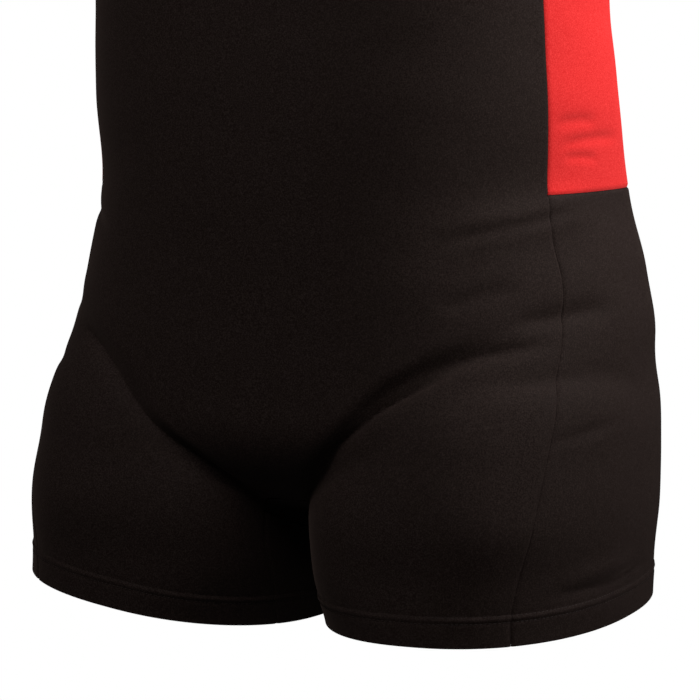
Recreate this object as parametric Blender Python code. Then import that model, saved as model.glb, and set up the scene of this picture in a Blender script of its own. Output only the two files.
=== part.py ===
"""A powerlifting singlet in stretch knit, kept in the rounded shape it has when it is worn.

Metres, Z up.  The origin lies between the two shoulder straps, level with their tops.  +X is the
wearer's left, -Y is the front.  The cloth hangs from the straps down to two short turned-up legs.

Every piece of cloth is a thin sheet laid on one common form.  The form is a torso and two legs,
each a stack of rounded sections, joined softly.  Seams are lines on that form, and both pieces at
a seam share the same line, 0.15 mm to either side of it.
"""
from collections import namedtuple

import bmesh
import bpy
import numpy as np

# Rounded sections of the form, top to bottom.  A section is centre_x, centre_y from the origin,
# half_width to each side, front towards -Y and back towards +Y.  Its roundness is 2 for a plain
# ellipse and more for a squarer one.  The half that faces the other leg has its own, inner.
ROUNDNESS = 2.25
Section = namedtuple("Section", "z centre_x centre_y half_width front back inner", defaults=(ROUNDNESS,))
TORSO = (
    Section(0.020, 0.0, 0.018, 0.186, 0.112, 0.104),
    Section(-0.080, 0.0, 0.014, 0.190, 0.128, 0.112),
    Section(-0.180, 0.0, 0.010, 0.190, 0.140, 0.118),
    Section(-0.260, 0.0, 0.014, 0.186, 0.149, 0.116),
    Section(-0.320, 0.0, 0.022, 0.183, 0.158, 0.108),
    Section(-0.390, 0.0, 0.037, 0.187, 0.174, 0.092),
    Section(-0.455, 0.0, 0.055, 0.188, 0.191, 0.083),
    Section(-0.510, 0.0, 0.052, 0.202, 0.186, 0.100),
    Section(-0.560, 0.0, 0.040, 0.210, 0.174, 0.128),
    Section(-0.620, 0.0, 0.024, 0.196, 0.160, 0.136),
    Section(-0.700, 0.0, 0.004, 0.170, 0.146, 0.140),
)
LEG = (
    Section(-0.460, 0.110, 0.020, 0.100, 0.130, 0.130),
    Section(-0.560, 0.110, 0.023, 0.105, 0.138, 0.140),
    Section(-0.620, 0.111, 0.012, 0.107, 0.140, 0.141, 2.3),
    Section(-0.670, 0.1155, 0.001, 0.1055, 0.138, 0.143, 3.0),
    Section(-0.705, 0.1155, -0.003, 0.1045, 0.131, 0.139, 2.9),
    Section(-0.745, 0.118, -0.007, 0.103, 0.126, 0.132, 2.3),
    Section(-0.790, 0.121, -0.011, 0.102, 0.121, 0.123),
)
SHOULDER_START = -0.146  # the torso closes over the shoulders above this height
SHOULDER_RISE = 0.165
PELVIS_START = -0.596    # and closes under the crotch below this one
PELVIS_DROP = 0.078
LEG_TOP = -0.620         # the legs close inside the torso above this height
LEG_RISE = 0.110
LEG_SOFTNESS = 0.012     # width of the soft join between the two legs
GROIN_SOFTNESS = 0.010   # and between the legs and the torso

# The plane each leg is cut off at: a height at x = y = 0, a rise per metre outwards and per metre back.
Hem = namedtuple("Hem", "side height rise_out rise_back")
HEMS = (
    Hem(1, -0.739, 0.012, 0.062),
    Hem(-1, -0.7585, 0.162, -0.019),
)
HEM_ROWS = (0.0215, 0.0200, 0.0100, 0.0)  # rows of the turned-up band, above the cut

# Seams and edges of the wearer's left half.  The lines are drawn on the form through these points.
Point = namedtuple("Point", "x y z")
SHOULDER_SEAM = (Point(0.075, 0.018, 0.009), Point(0.102, 0.018, -0.003), Point(0.130, 0.018, -0.019))
FRONT_NECKLINE = (
    Point(0.075, 0.018, 0.009), Point(0.073, -0.060, -0.030), Point(0.070, -0.095, -0.090),
    Point(0.060, -0.115, -0.140), Point(0.038, -0.128, -0.182), Point(0.0, -0.132, -0.200),
)
FRONT_ARMHOLE = (
    Point(0.130, 0.018, -0.019), Point(0.127, -0.040, -0.045), Point(0.122, -0.075, -0.095),
    Point(0.124, -0.092, -0.150), Point(0.138, -0.090, -0.202), Point(0.156, -0.071, -0.242),
    Point(0.171, -0.046, -0.262),
)
BACK_NECKLINE = (
    Point(0.075, 0.018, 0.009), Point(0.072, 0.080, -0.020), Point(0.062, 0.106, -0.075),
    Point(0.038, 0.116, -0.118), Point(0.0, 0.120, -0.135),
)
BACK_ARMHOLE = (
    Point(0.130, 0.018, -0.019), Point(0.124, 0.070, -0.040), Point(0.112, 0.098, -0.100),
    Point(0.114, 0.106, -0.160), Point(0.132, 0.102, -0.208), Point(0.151, 0.092, -0.242),
    Point(0.166, 0.078, -0.261),
)
UNDERARM = (
    Point(0.171, -0.046, -0.262), Point(0.181, -0.020, -0.272), Point(0.186, 0.015, -0.276),
    Point(0.179, 0.053, -0.272), Point(0.166, 0.078, -0.261),
)
SIDE_FRONT_SEAM = (
    Point(0.171, -0.046, -0.262), Point(0.172, -0.042, -0.322), Point(0.174, -0.038, -0.388),
    Point(0.173, -0.034, -0.440), Point(0.176, -0.036, -0.477), Point(0.184, -0.036, -0.512),
    Point(0.190, -0.044, -0.540), Point(0.196, -0.063, -0.574), Point(0.199, -0.077, -0.602),
    Point(0.194, -0.093, -0.645), Point(0.189, -0.103, -0.680), Point(0.183, -0.112, -0.722),
    Point(0.182, -0.112, -0.765),
)
SIDE_FRONT_SEAM_RIGHT = (  # the garment sits a little turned, so this one lies further forward
    Point(0.171, -0.046, -0.262), Point(0.171, -0.050, -0.322), Point(0.171, -0.056, -0.388),
    Point(0.169, -0.060, -0.440), Point(0.172, -0.062, -0.477), Point(0.180, -0.060, -0.512),
    Point(0.188, -0.062, -0.540), Point(0.195, -0.070, -0.574), Point(0.198, -0.080, -0.602),
    Point(0.194, -0.093, -0.645), Point(0.189, -0.103, -0.680), Point(0.183, -0.112, -0.722),
    Point(0.182, -0.112, -0.765),
)
SIDE_BACK_SEAM = (
    Point(0.166, 0.078, -0.261), Point(0.164, 0.077, -0.320), Point(0.167, 0.084, -0.390),
    Point(0.168, 0.097, -0.455), Point(0.180, 0.103, -0.510), Point(0.190, 0.098, -0.560),
    Point(0.200, 0.088, -0.620), Point(0.196, 0.082, -0.700), Point(0.194, 0.078, -0.765),
)
COLOUR_SEAM_HEIGHT = -0.452
CENTRE_FRONT = (
    Point(0.0, -0.132, -0.200), Point(0.0, -0.136, -0.300), Point(0.0, -0.137, -0.400),
    Point(0.0, -0.134, -0.500), Point(0.0, -0.134, -0.600), Point(0.0, -0.112, -0.644),
    Point(0.0, -0.070, -0.665),
)
CENTRE_BACK = (
    Point(0.0, 0.120, -0.135), Point(0.0, 0.130, -0.260), Point(0.0, 0.129, -0.390),
    Point(0.0, 0.150, -0.510), Point(0.0, 0.156, -0.600), Point(0.0, 0.122, -0.648),
    Point(0.0, 0.076, -0.668),
)
GUSSET_FRONT_END = (Point(0.0, -0.070, -0.665), Point(0.008, -0.073, -0.6645), Point(0.016, -0.080, -0.664))
GUSSET_BACK_END = (Point(0.0, 0.076, -0.668), Point(0.007, 0.076, -0.668), Point(0.0135, 0.077, -0.672))
GUSSET_FRONT_SIDE = (Point(0.016, -0.080, -0.664), Point(0.017, -0.080, -0.6675), Point(0.0175, -0.080, -0.671))
GUSSET_BACK_SIDE = (
    Point(0.0135, 0.077, -0.672), Point(0.0125, 0.055, -0.681), Point(0.011, 0.030, -0.687),
    Point(0.0105, 0.0, -0.689), Point(0.0105, -0.022, -0.688), Point(0.011, -0.040, -0.685),
    Point(0.0125, -0.053, -0.681), Point(0.0145, -0.066, -0.676), Point(0.0175, -0.080, -0.671),
)
INSEAM = (
    Point(0.0175, -0.080, -0.671), Point(0.018, -0.080, -0.688), Point(0.0175, -0.076, -0.703),
    Point(0.018, -0.070, -0.716), Point(0.0195, -0.065, -0.730), Point(0.0215, -0.059, -0.749),
    Point(0.023, -0.055, -0.775),
)

# Rows along each line and columns across each half piece.
ROWS = {
    "front_neckline": 12, "centre_front": 26, "gusset_end": 2, "gusset_front_side": 2, "inseam": 6,
    "front_armhole": 16, "side_upper": 12, "side_lower": 20,
    "back_neckline": 9, "centre_back": 24, "gusset_back_side": 7, "back_armhole": 16,
}
FRONT_COLUMNS = 14
BACK_COLUMNS = 16
SIDE_COLUMNS = 7
EASING = 80              # times that the rows inside a piece are eased apart
GUSSET_SINK = 0.03       # how far above its seams the middle of the gusset starts
GUSSET_REACH = 0.03      # rows of the back panel are kept under the gusset within this of the middle
ROW_CLEARANCE = 0.0016   # and apart from each other by at least this

SEAM_INSET = 0.00015     # half of the gap left between two sewn pieces
WALL = 0.0014            # one thickness of knit
TURNED_WALL = 0.0026     # turned-up cloth at a hem, three layers pressed flat
EDGE_WALL = 0.0022       # turned edge of the neck and the armholes

# Large folds: height out of the form (negative is a trough), half width, and the path it follows.
Fold = namedtuple("Fold", "height half_width path")
FOLDS = (
    Fold(-0.0050, 0.010, ((-0.180, -0.059, -0.545), (-0.150, -0.093, -0.552), (-0.111, -0.117, -0.576),
                          (-0.074, -0.128, -0.612), (-0.045, -0.123, -0.630), (-0.015, -0.090, -0.659))),
    Fold(-0.0050, 0.011, ((0.170, -0.073, -0.547), (0.150, -0.093, -0.553), (0.122, -0.111, -0.567),
                          (0.095, -0.122, -0.584), (0.068, -0.128, -0.612), (0.055, -0.125, -0.626),
                          (0.012, -0.084, -0.662))),
    Fold(0.0030, 0.012, ((0.118, -0.104, -0.484), (0.147, -0.078, -0.472), (0.166, -0.051, -0.468),
                         (0.187, 0.015, -0.460))),
    Fold(-0.0030, 0.010, ((0.163, -0.077, -0.539), (0.177, -0.060, -0.534), (0.188, -0.041, -0.532),
                          (0.204, 0.016, -0.528))),
    Fold(-0.0030, 0.010, ((0.125, -0.117, -0.583), (0.158, -0.101, -0.575), (0.181, -0.079, -0.572),
                          (0.192, -0.062, -0.572), (0.209, -0.013, -0.573), (0.214, 0.047, -0.589))),
)

PARTS_NAME = "powerlifting_singlet"
BLACK = ("black_knit", (0.012, 0.010, 0.009, 1.0), 0.78)
RED = ("red_knit", (0.72, 0.030, 0.028, 1.0), 0.72)


def column(rows, name, z):
    """One measure of a section table at height z, drawn smoothly through the rows."""
    heights = np.array([row.z for row in rows])[::-1]
    values = np.array([getattr(row, name) for row in rows])[::-1]
    slopes = np.gradient(values, heights)
    z = np.clip(z, heights[0], heights[-1])
    i = np.clip(np.searchsorted(heights, z) - 1, 0, len(heights) - 2)
    span = heights[i + 1] - heights[i]
    t = (z - heights[i]) / span
    start = (1 + 2 * t) * (1 - t) ** 2 * values[i] + t * (1 - t) ** 2 * span * slopes[i]
    end = t * t * (3 - 2 * t) * values[i + 1] + t * t * (t - 1) * span * slopes[i + 1]
    return start + end


def tube(rows, points, side, caps):
    """Rough distance outside a stack of sections, closed at the heights where the caps start."""
    x, y, z = points[..., 0] * side, points[..., 1], points[..., 2]
    half_width = column(rows, "half_width", z)
    front, back = column(rows, "front", z), column(rows, "back", z)
    across = np.abs(x - column(rows, "centre_x", z)) / half_width
    along = y - column(rows, "centre_y", z)
    along = np.where(along < 0, -along / front, along / back)
    roundness = np.where(x < column(rows, "centre_x", z), column(rows, "inner", z), ROUNDNESS)
    total = across ** roundness + along ** roundness
    for start, reach in caps:
        total = total + np.clip((z - start) / reach, 0, None) ** roundness
    return (total ** (1 / roundness) - 1) * 0.5 * (half_width + 0.5 * (front + back))


def soft_union(a, b, softness):
    """The smaller of two distances, rounded where they are nearly equal."""
    overlap = np.clip(softness - np.abs(a - b), 0, None) / softness
    return np.minimum(a, b) - overlap * overlap * softness / 4


def form(points):
    """Negative inside the worn shape, zero on it and positive outside it."""
    torso = tube(TORSO, points, 1, ((SHOULDER_START, SHOULDER_RISE), (PELVIS_START, -PELVIS_DROP)))
    left = tube(LEG, points, 1, ((LEG_TOP, LEG_RISE),))
    right = tube(LEG, points, -1, ((LEG_TOP, LEG_RISE),))
    return soft_union(torso, soft_union(left, right, LEG_SOFTNESS), GROIN_SOFTNESS)


def slope(points, step=0.0004):
    """How fast the form's distance grows in X, Y and Z at each point."""
    grown = np.zeros_like(points)
    for axis in range(3):
        shift = np.zeros(3)
        shift[axis] = step
        grown[..., axis] = (form(points + shift) - form(points - shift)) / (2 * step)
    return grown


def normals(points):
    """Unit directions straight out of the form."""
    grown = slope(points)
    return grown / np.linalg.norm(grown, axis=-1, keepdims=True)


def settle(points, times=4):
    """Move points straight onto the form."""
    for _ in range(times):
        grown = slope(points)
        size = np.sum(grown * grown, axis=-1, keepdims=True)
        points = points - form(points)[..., None] * grown / size
    return points


def push(points, direction):
    """Carry points that lie deep inside the form out to it along one direction."""
    direction = np.array(direction, dtype=float)
    for _ in range(60):
        depth = -form(points)
        points = points + np.where(depth > 0.008, depth * 0.9, 0.0)[..., None] * direction
    return settle(points, 8)


def lengths(points):
    """Distance along a line of points, from its first one."""
    steps = np.linalg.norm(np.diff(points, axis=0), axis=1)
    return np.concatenate(([0.0], np.cumsum(steps)))


def line(rows, parts=160):
    """A smooth line on the form through the rows of a table.

    One that starts or ends on the middle plane meets it squarely, and one all on it stays there.
    """
    knots = np.array(rows, dtype=float)
    along = lengths(knots)
    slopes = np.gradient(knots, along, axis=0)
    in_middle = (knots[:, 0] == 0).all()
    if knots[0, 0] == 0 and not in_middle:
        slopes[0] = (1.0, 0.0, 0.0)
    if knots[-1, 0] == 0 and not in_middle:
        slopes[-1] = (-1.0, 0.0, 0.0)
    at = np.linspace(0, along[-1], parts + 1)
    i = np.clip(np.searchsorted(along, at) - 1, 0, len(along) - 2)
    span = (along[i + 1] - along[i])[:, None]
    t = (at[:, None] - along[i][:, None]) / span
    start = (1 + 2 * t) * (1 - t) ** 2 * knots[i] + t * (1 - t) ** 2 * span * slopes[i]
    end = t * t * (3 - 2 * t) * knots[i + 1] + t * t * (t - 1) * span * slopes[i + 1]
    points = start + end
    if in_middle:
        points[:, 0] = 0
    return settle(points)


def spread(points, count):
    """A line's points spaced evenly, count steps from end to end."""
    along = lengths(points)
    at = np.linspace(0, along[-1], count + 1)
    even = np.stack([np.interp(at, along, points[:, axis]) for axis in range(3)], axis=1)
    return settle(even)


def parted(points, height):
    """A line that comes down through height zero, as the part above and the part below."""
    value = height(points)
    i = int(np.argmax(value < 0))
    t = value[i - 1] / (value[i - 1] - value[i])
    meeting = points[i - 1] + t * (points[i] - points[i - 1])
    return np.vstack([points[:i], meeting]), np.vstack([meeting, points[i:]])


def hem_height(hem, points):
    """Height above the plane that cuts one leg, on the left half of the form."""
    return points[..., 2] - hem.height - hem.rise_out * points[..., 0] - hem.rise_back * points[..., 1]


def ring(hem, above, first, last, count, turn):
    """A row of points round a leg at one height above its hem, from one seam to the next."""
    centre_x = column(LEG, "centre_x", np.array(hem.height + 0.02))
    centre_y = column(LEG, "centre_y", np.array(hem.height + 0.02))
    bearings = [np.arctan2(end[0] - centre_x, centre_y - end[1]) for end in (first, last)]
    if (bearings[1] - bearings[0]) * turn < 0:
        bearings[1] += turn * 2 * np.pi
    bearing = np.linspace(bearings[0], bearings[1], count + 1)
    near, far = np.full(count + 1, 0.04), np.full(count + 1, 0.20)
    for _ in range(40):
        reach = 0.5 * (near + far)
        x = centre_x + reach * np.sin(bearing)
        y = centre_y - reach * np.cos(bearing)
        z = hem.height + hem.rise_out * x + hem.rise_back * y + above
        points = np.stack([x, y, z], axis=1)
        inside = tube(LEG, points, 1, ()) < 0
        near, far = np.where(inside, reach, near), np.where(inside, far, reach)
    points[0], points[-1] = first, last
    return points


def under_seam(grid, seam, first_row):
    """Lower the points that lie above the gusset's side seam where their row passes under it.

    The seam is the inner line's part from first_row on.  It sags, and a row that starts further
    along it passes under the part before.
    """
    order = np.argsort(seam[:, 1])
    y = grid[..., 1]
    row = np.interp(y, seam[order, 1], first_row + order)
    height = np.interp(y, seam[order, 1], seam[order, 2])
    passed = np.arange(len(grid))[:, None] - row
    near = (grid[..., 0] < GUSSET_REACH) & (y > seam[order[0], 1]) & (y < seam[order[-1], 1]) & (passed > 0)
    lowered = np.minimum(grid[..., 2], height - ROW_CLEARANCE * passed)
    out = grid.copy()
    out[..., 2] = np.where(near, lowered, grid[..., 2])
    return out


def patch(inner, outer, top, bottom, direction, sink=0.0, seam=None):
    """A grid of points on the form inside four lines: rows run from the inner to the outer line.

    Points inside start sunk by the given depth, and are carried out to the form along the direction.
    A sagging part of the inner line is given as its points and its first row.
    """
    rows, columns = len(inner) - 1, len(top) - 1
    v = np.linspace(0, 1, rows + 1)[:, None, None]
    u = np.linspace(0, 1, columns + 1)[None, :, None]
    across = (1 - u) * inner[:, None] + u * outer[:, None]
    down = (1 - v) * top[None] + v * bottom[None]
    corners = ((1 - u) * (1 - v) * top[0] + u * (1 - v) * top[-1]
               + (1 - u) * v * bottom[0] + u * v * bottom[-1])
    grid = across + down - corners
    grid[1:-1, 1:-1] = push(grid[1:-1, 1:-1] - sink * np.array(direction), direction)
    for _ in range(EASING):
        middle = 0.25 * (grid[:-2, 1:-1] + grid[2:, 1:-1] + grid[1:-1, :-2] + grid[1:-1, 2:])
        grid[1:-1, 1:-1] += 0.8 * (middle - grid[1:-1, 1:-1])
        if seam:
            grid[1:-1, 1:-1] = under_seam(grid, *seam)[1:-1, 1:-1]
        grid[1:-1, 1:-1] = settle(grid[1:-1, 1:-1], 1)
    grid[1:-1, 1:-1] = settle(grid[1:-1, 1:-1])
    return grid


def half_lines(hem):
    """Every seam and edge of one half, down to the top of the turned-up band."""
    def band(points):
        return hem_height(hem, points) - HEM_ROWS[0]

    def colour(points):
        return points[..., 2] - COLOUR_SEAM_HEIGHT

    lines = {}
    side_front = SIDE_FRONT_SEAM if hem.side > 0 else SIDE_FRONT_SEAM_RIGHT
    for name, rows in (("side_front", side_front), ("side_back", SIDE_BACK_SEAM)):
        upper, rest = parted(line(rows), colour)
        lower, lines[name + "_band"] = parted(rest, band)
        lines[name + "_upper"] = spread(upper, ROWS["side_upper"])
        lines[name + "_lower"] = spread(lower, ROWS["side_lower"])
    inseam, lines["inseam_band"] = parted(line(INSEAM), band)
    lines["inseam"] = spread(inseam, ROWS["inseam"])
    tables = (
        ("front_neckline", FRONT_NECKLINE), ("back_neckline", BACK_NECKLINE),
        ("front_armhole", FRONT_ARMHOLE), ("back_armhole", BACK_ARMHOLE),
        ("centre_front", CENTRE_FRONT), ("centre_back", CENTRE_BACK),
        ("gusset_front_side", GUSSET_FRONT_SIDE), ("gusset_back_side", GUSSET_BACK_SIDE),
    )
    for name, rows in tables:
        lines[name] = spread(line(rows), ROWS[name])
    for name, rows in (("gusset_front_end", GUSSET_FRONT_END), ("gusset_back_end", GUSSET_BACK_END)):
        lines[name] = spread(line(rows), ROWS["gusset_end"])
    lines["underarm"] = spread(line(UNDERARM), SIDE_COLUMNS)
    level = np.linspace(lines["side_front_upper"][-1], lines["side_back_upper"][-1], SIDE_COLUMNS + 1)
    level[1:-1] = push(level[1:-1], (1, 0, 0))
    level[:, 2] = COLOUR_SEAM_HEIGHT
    lines["colour"] = settle(spread(level, SIDE_COLUMNS))
    return lines


def joined(*pieces):
    """Lines end to end as one, each shared end kept once."""
    return np.vstack([pieces[0]] + [piece[1:] for piece in pieces[1:]])


def band_rows(hem, first_line, last_line, count, turn):
    """The rows of the turned-up band below its top row."""
    rows = []
    for above in HEM_ROWS[1:]:
        ends = []
        for seam in (first_line, last_line):
            upper, _ = parted(seam, lambda points: hem_height(hem, points) - above)
            ends.append(settle(upper[-1][None])[0])
        rows.append(ring(hem, above, ends[0], ends[1], count, turn))
    return np.stack(rows)


def front_half(hem, lines):
    """The grid of the front piece's half: neckline, centre, gusset and inseam to the side."""
    inner = joined(lines["front_neckline"], lines["centre_front"], lines["gusset_front_end"],
                   lines["gusset_front_side"], lines["inseam"])
    outer = joined(lines["front_armhole"], lines["side_front_upper"], lines["side_front_lower"])
    top = spread(line(SHOULDER_SEAM), FRONT_COLUMNS)
    bottom = ring(hem, HEM_ROWS[0], inner[-1], outer[-1], FRONT_COLUMNS, 1)
    grid = patch(inner, outer, top, bottom, (0, -1, 0))
    band = band_rows(hem, lines["inseam_band"], lines["side_front_band"], FRONT_COLUMNS, 1)
    return np.vstack([grid, band])


def back_half(hem, lines):
    """The grid of the back piece's half, laid out like the front."""
    inner = joined(lines["back_neckline"], lines["centre_back"], lines["gusset_back_end"],
                   lines["gusset_back_side"], lines["inseam"])
    outer = joined(lines["back_armhole"], lines["side_back_upper"], lines["side_back_lower"])
    top = spread(line(SHOULDER_SEAM), BACK_COLUMNS)
    bottom = ring(hem, HEM_ROWS[0], inner[-1], outer[-1], BACK_COLUMNS, -1)
    seam = (lines["gusset_back_side"], ROWS["back_neckline"] + ROWS["centre_back"] + ROWS["gusset_end"])
    grid = patch(inner, outer, top, bottom, (0, 1, 0), seam=seam)
    band = band_rows(hem, lines["inseam_band"], lines["side_back_band"], BACK_COLUMNS, -1)
    return np.vstack([grid, band])


def upper_side(lines):
    """The grid of a side piece from the underarm to the colour seam."""
    return patch(lines["side_front_upper"], lines["side_back_upper"], lines["underarm"],
                 lines["colour"], (1, 0, 0))


def lower_side(hem, lines):
    """The grid of a side piece from the colour seam to the hem."""
    first, last = lines["side_front_lower"], lines["side_back_lower"]
    bottom = ring(hem, HEM_ROWS[0], first[-1], last[-1], SIDE_COLUMNS, 1)
    grid = patch(first, last, lines["colour"], bottom, (1, 0, 0))
    band = band_rows(hem, lines["side_front_band"], lines["side_back_band"], SIDE_COLUMNS, 1)
    return np.vstack([grid, band])


def gusset(lines):
    """The grid of the crotch gusset, front to back, from the right side across to the left."""
    left = joined(lines["gusset_front_side"], lines["gusset_back_side"][::-1])
    mirror = np.array([-1.0, 1.0, 1.0])
    front = joined((lines["gusset_front_end"] * mirror)[::-1], lines["gusset_front_end"])
    back = joined((lines["gusset_back_end"] * mirror)[::-1], lines["gusset_back_end"])
    return patch(left * mirror, left, front, back, (0, 0, -1), GUSSET_SINK)


def inset(grid, edges):
    """Draw the sewn edges of a grid in by half a seam gap.

    An edge is its side of the grid (first or last row or column) and the span of it that is sewn.
    """
    out = grid.copy()
    for side, first, last in edges:
        edge, neighbour = {
            "top": (grid[0], grid[1]), "bottom": (grid[-1], grid[-2]),
            "inner": (grid[:, 0], grid[:, 1]), "outer": (grid[:, -1], grid[:, -2]),
        }[side]
        span = slice(first, last + 1)
        along = np.gradient(edge[span], axis=0)
        away = np.cross(normals(edge[span]), along)
        away /= np.linalg.norm(away, axis=1, keepdims=True)
        facing = np.sign(np.sum(away * (neighbour[span] - edge[span]), axis=1, keepdims=True))
        target = {"top": out[0], "bottom": out[-1], "inner": out[:, 0], "outer": out[:, -1]}[side]
        target[span] += away * facing * SEAM_INSET
    return out


def fold_height(points):
    """How far the folds lift the cloth off the form, or sink it, at each point."""
    height = np.zeros(points.shape[:-1])
    for fold in FOLDS:
        path = np.array(fold.path)
        along = lengths(path)
        best = np.full(points.shape[:-1], 1.0)
        place = np.zeros(points.shape[:-1])
        for i in range(len(path) - 1):
            step = path[i + 1] - path[i]
            t = np.clip((points - path[i]) @ step / (step @ step), 0, 1)
            gap = np.linalg.norm(points - path[i] - t[..., None] * step, axis=-1)
            nearer = gap < best
            place = np.where(nearer, (along[i] + t * (along[i + 1] - along[i])) / along[-1], place)
            best = np.minimum(best, gap)
        fade = np.clip(np.minimum(place, 1 - place) / 0.25, 0, 1)
        fade = fade * fade * (3 - 2 * fade)
        height += fold.height * fade * np.exp(-(best / fold.half_width) ** 2)
    return height


def layers(grid, walls, side):
    """Outer and inner points of a half's cloth, put on the wearer's left (1) or right (-1)."""
    away = normals(grid)
    mirror = np.array([float(side), 1.0, 1.0])
    lift = fold_height(grid * mirror)
    outer = grid + away * lift[..., None]
    inner = grid + away * (lift - walls)[..., None]
    return outer * mirror, inner * mirror


def wall_grid(grid, hem_rows, free):
    """Wall thickness at each point: thicker in the turned-up band and along the free edges."""
    walls = np.full(grid.shape[:2], WALL)
    for side, first, last in free:
        edge = {"top": walls[0], "inner": walls[:, 0], "outer": walls[:, -1]}[side]
        edge[first:last + 1] = EDGE_WALL
    if hem_rows:
        walls[-hem_rows:] = TURNED_WALL
    return walls


def sheet(name, halves, slits, material):
    """A closed thin solid from one grid of cloth, or from two that join along a middle line.

    The middle line is cut open over each pair of rows in slits.
    """
    rows, columns = halves[0][0].shape[0] - 1, halves[0][0].shape[1] - 1
    total = columns * len(halves)
    mesh = bmesh.new()
    bmesh.ops.create_grid(mesh, x_segments=total, y_segments=rows, size=0.5)
    row_of = mesh.verts.layers.int.new("row")
    column_of = mesh.verts.layers.int.new("column")
    for vert in mesh.verts:
        vert[row_of] = round((0.5 - vert.co.y) * rows)
        vert[column_of] = round((0.5 + vert.co.x) * total)
    cuts = []
    for edge in mesh.edges:
        a, b = edge.verts
        if len(halves) == 2 and a[column_of] == b[column_of] == columns:
            if any(first <= min(a[row_of], b[row_of]) and max(a[row_of], b[row_of]) <= last
                   for first, last in slits):
                cuts.append(edge)
    bmesh.ops.split_edges(mesh, edges=cuts)
    side_of = mesh.verts.layers.int.new("side")
    for vert in mesh.verts:
        middle = sum(face.calc_center_median().x for face in vert.link_faces)
        vert[side_of] = 1 if middle > -1e-6 else 0
    grown = bmesh.ops.extrude_face_region(mesh, geom=mesh.faces[:], use_keep_orig=True)
    outer = {item for item in grown["geom"] if isinstance(item, bmesh.types.BMVert)}
    for vert in mesh.verts:
        if len(halves) == 2:
            points = halves[0 if vert[side_of] else 1]
            place = abs(vert[column_of] - columns)
        else:
            points = halves[0]
            place = vert[column_of]
        vert.co = points[0 if vert in outer else 1][vert[row_of], place]
    bmesh.ops.recalc_face_normals(mesh, faces=mesh.faces[:])
    for face in mesh.faces:
        face.smooth = True
    for edge in mesh.edges:
        edge.smooth = edge.calc_face_angle(0.0) < 0.9
    data = bpy.data.meshes.new(name)
    mesh.to_mesh(data)
    mesh.free()
    data.materials.append(material)
    body = bpy.data.objects.new(name, data)
    bpy.data.collections[PARTS_NAME].objects.link(body)
    return body


def knit(name, colour, roughness):
    """A plain material for one colour of cloth."""
    material = bpy.data.materials.new(name)
    material.use_nodes = True
    shader = material.node_tree.nodes["Principled BSDF"]
    shader.inputs["Base Color"].default_value = colour
    shader.inputs["Roughness"].default_value = roughness
    material.diffuse_color = colour
    return material


def main():
    """Build every piece of cloth."""
    for item in list(bpy.data.objects):
        bpy.data.objects.remove(item, do_unlink=True)
    collection = bpy.data.collections.new(PARTS_NAME)
    bpy.context.scene.collection.children.link(collection)

    last_row = sum(ROWS[name] for name in ("front_armhole", "side_upper", "side_lower")) + len(HEM_ROWS) - 1
    band = len(HEM_ROWS) - 1
    fronts, backs = [], []
    for hem in HEMS:
        lines = half_lines(hem)
        side_name = "left" if hem.side > 0 else "right"

        neck = ROWS["front_neckline"]
        crotch = neck + ROWS["centre_front"]
        arm = ROWS["front_armhole"]
        grid = front_half(hem, lines)
        walls = wall_grid(grid, band, (("inner", 0, neck), ("outer", 0, arm)))
        sewn = (("top", 0, FRONT_COLUMNS), ("inner", crotch, last_row), ("outer", arm, last_row))
        fronts.append(layers(inset(grid, sewn), walls, hem.side))
        front_slits = ((0, neck), (crotch, last_row))

        neck = ROWS["back_neckline"]
        crotch = neck + ROWS["centre_back"]
        arm = ROWS["back_armhole"]
        grid = back_half(hem, lines)
        walls = wall_grid(grid, band, (("inner", 0, neck), ("outer", 0, arm)))
        sewn = (("top", 0, BACK_COLUMNS), ("inner", crotch, last_row), ("outer", arm, last_row))
        backs.append(layers(inset(grid, sewn), walls, hem.side))
        back_slits = ((0, neck), (crotch, last_row))

        grid = upper_side(lines)
        walls = wall_grid(grid, 0, (("top", 0, SIDE_COLUMNS),))
        end = ROWS["side_upper"]
        sewn = (("inner", 0, end), ("outer", 0, end), ("bottom", 0, SIDE_COLUMNS))
        sheet("upper_side_" + side_name, [layers(inset(grid, sewn), walls, hem.side)], (),
              knit(RED[0] + "_" + side_name, RED[1], RED[2]))

        grid = lower_side(hem, lines)
        walls = wall_grid(grid, band, ())
        end = ROWS["side_lower"] + band
        sewn = (("inner", 0, end), ("outer", 0, end), ("top", 0, SIDE_COLUMNS))
        sheet("lower_side_" + side_name, [layers(inset(grid, sewn), walls, hem.side)], (),
              knit(BLACK[0] + "_lower_side_" + side_name, BLACK[1], BLACK[2]))

    sheet("front_panel", fronts, front_slits, knit(BLACK[0] + "_front", BLACK[1], BLACK[2]))
    sheet("back_panel", backs, back_slits, knit(BLACK[0] + "_back", BLACK[1], BLACK[2]))

    grid = gusset(lines)
    long_side = ROWS["gusset_front_side"] + ROWS["gusset_back_side"]
    width = 2 * ROWS["gusset_end"]
    sewn = (("top", 0, width), ("bottom", 0, width), ("inner", 0, long_side), ("outer", 0, long_side))
    walls = np.full(grid.shape[:2], WALL)
    sheet("crotch_gusset", [layers(inset(grid, sewn), walls, 1)], (),
          knit(BLACK[0] + "_gusset", BLACK[1], BLACK[2]))


main()
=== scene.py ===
"""The looks of a powerlifting singlet: knit cloth, folds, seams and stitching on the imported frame.

Metres, Z up.  The origin lies between the two shoulder straps, +X is the wearer's left and -Y the
front.  Each piece of cloth is a fine sheet laid on the same worn form as its CAD node.  Folds, seam
grooves and turned hems lift the sheet off that form or sink it, and the stitches lie on the result.
"""

from __future__ import annotations

import logging
import math
from collections.abc import Callable, Sequence
from dataclasses import astuple, dataclass, field
from enum import Enum
from typing import Any

import bmesh
import bpy
import numpy as np
from mathutils import Matrix, Vector

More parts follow.
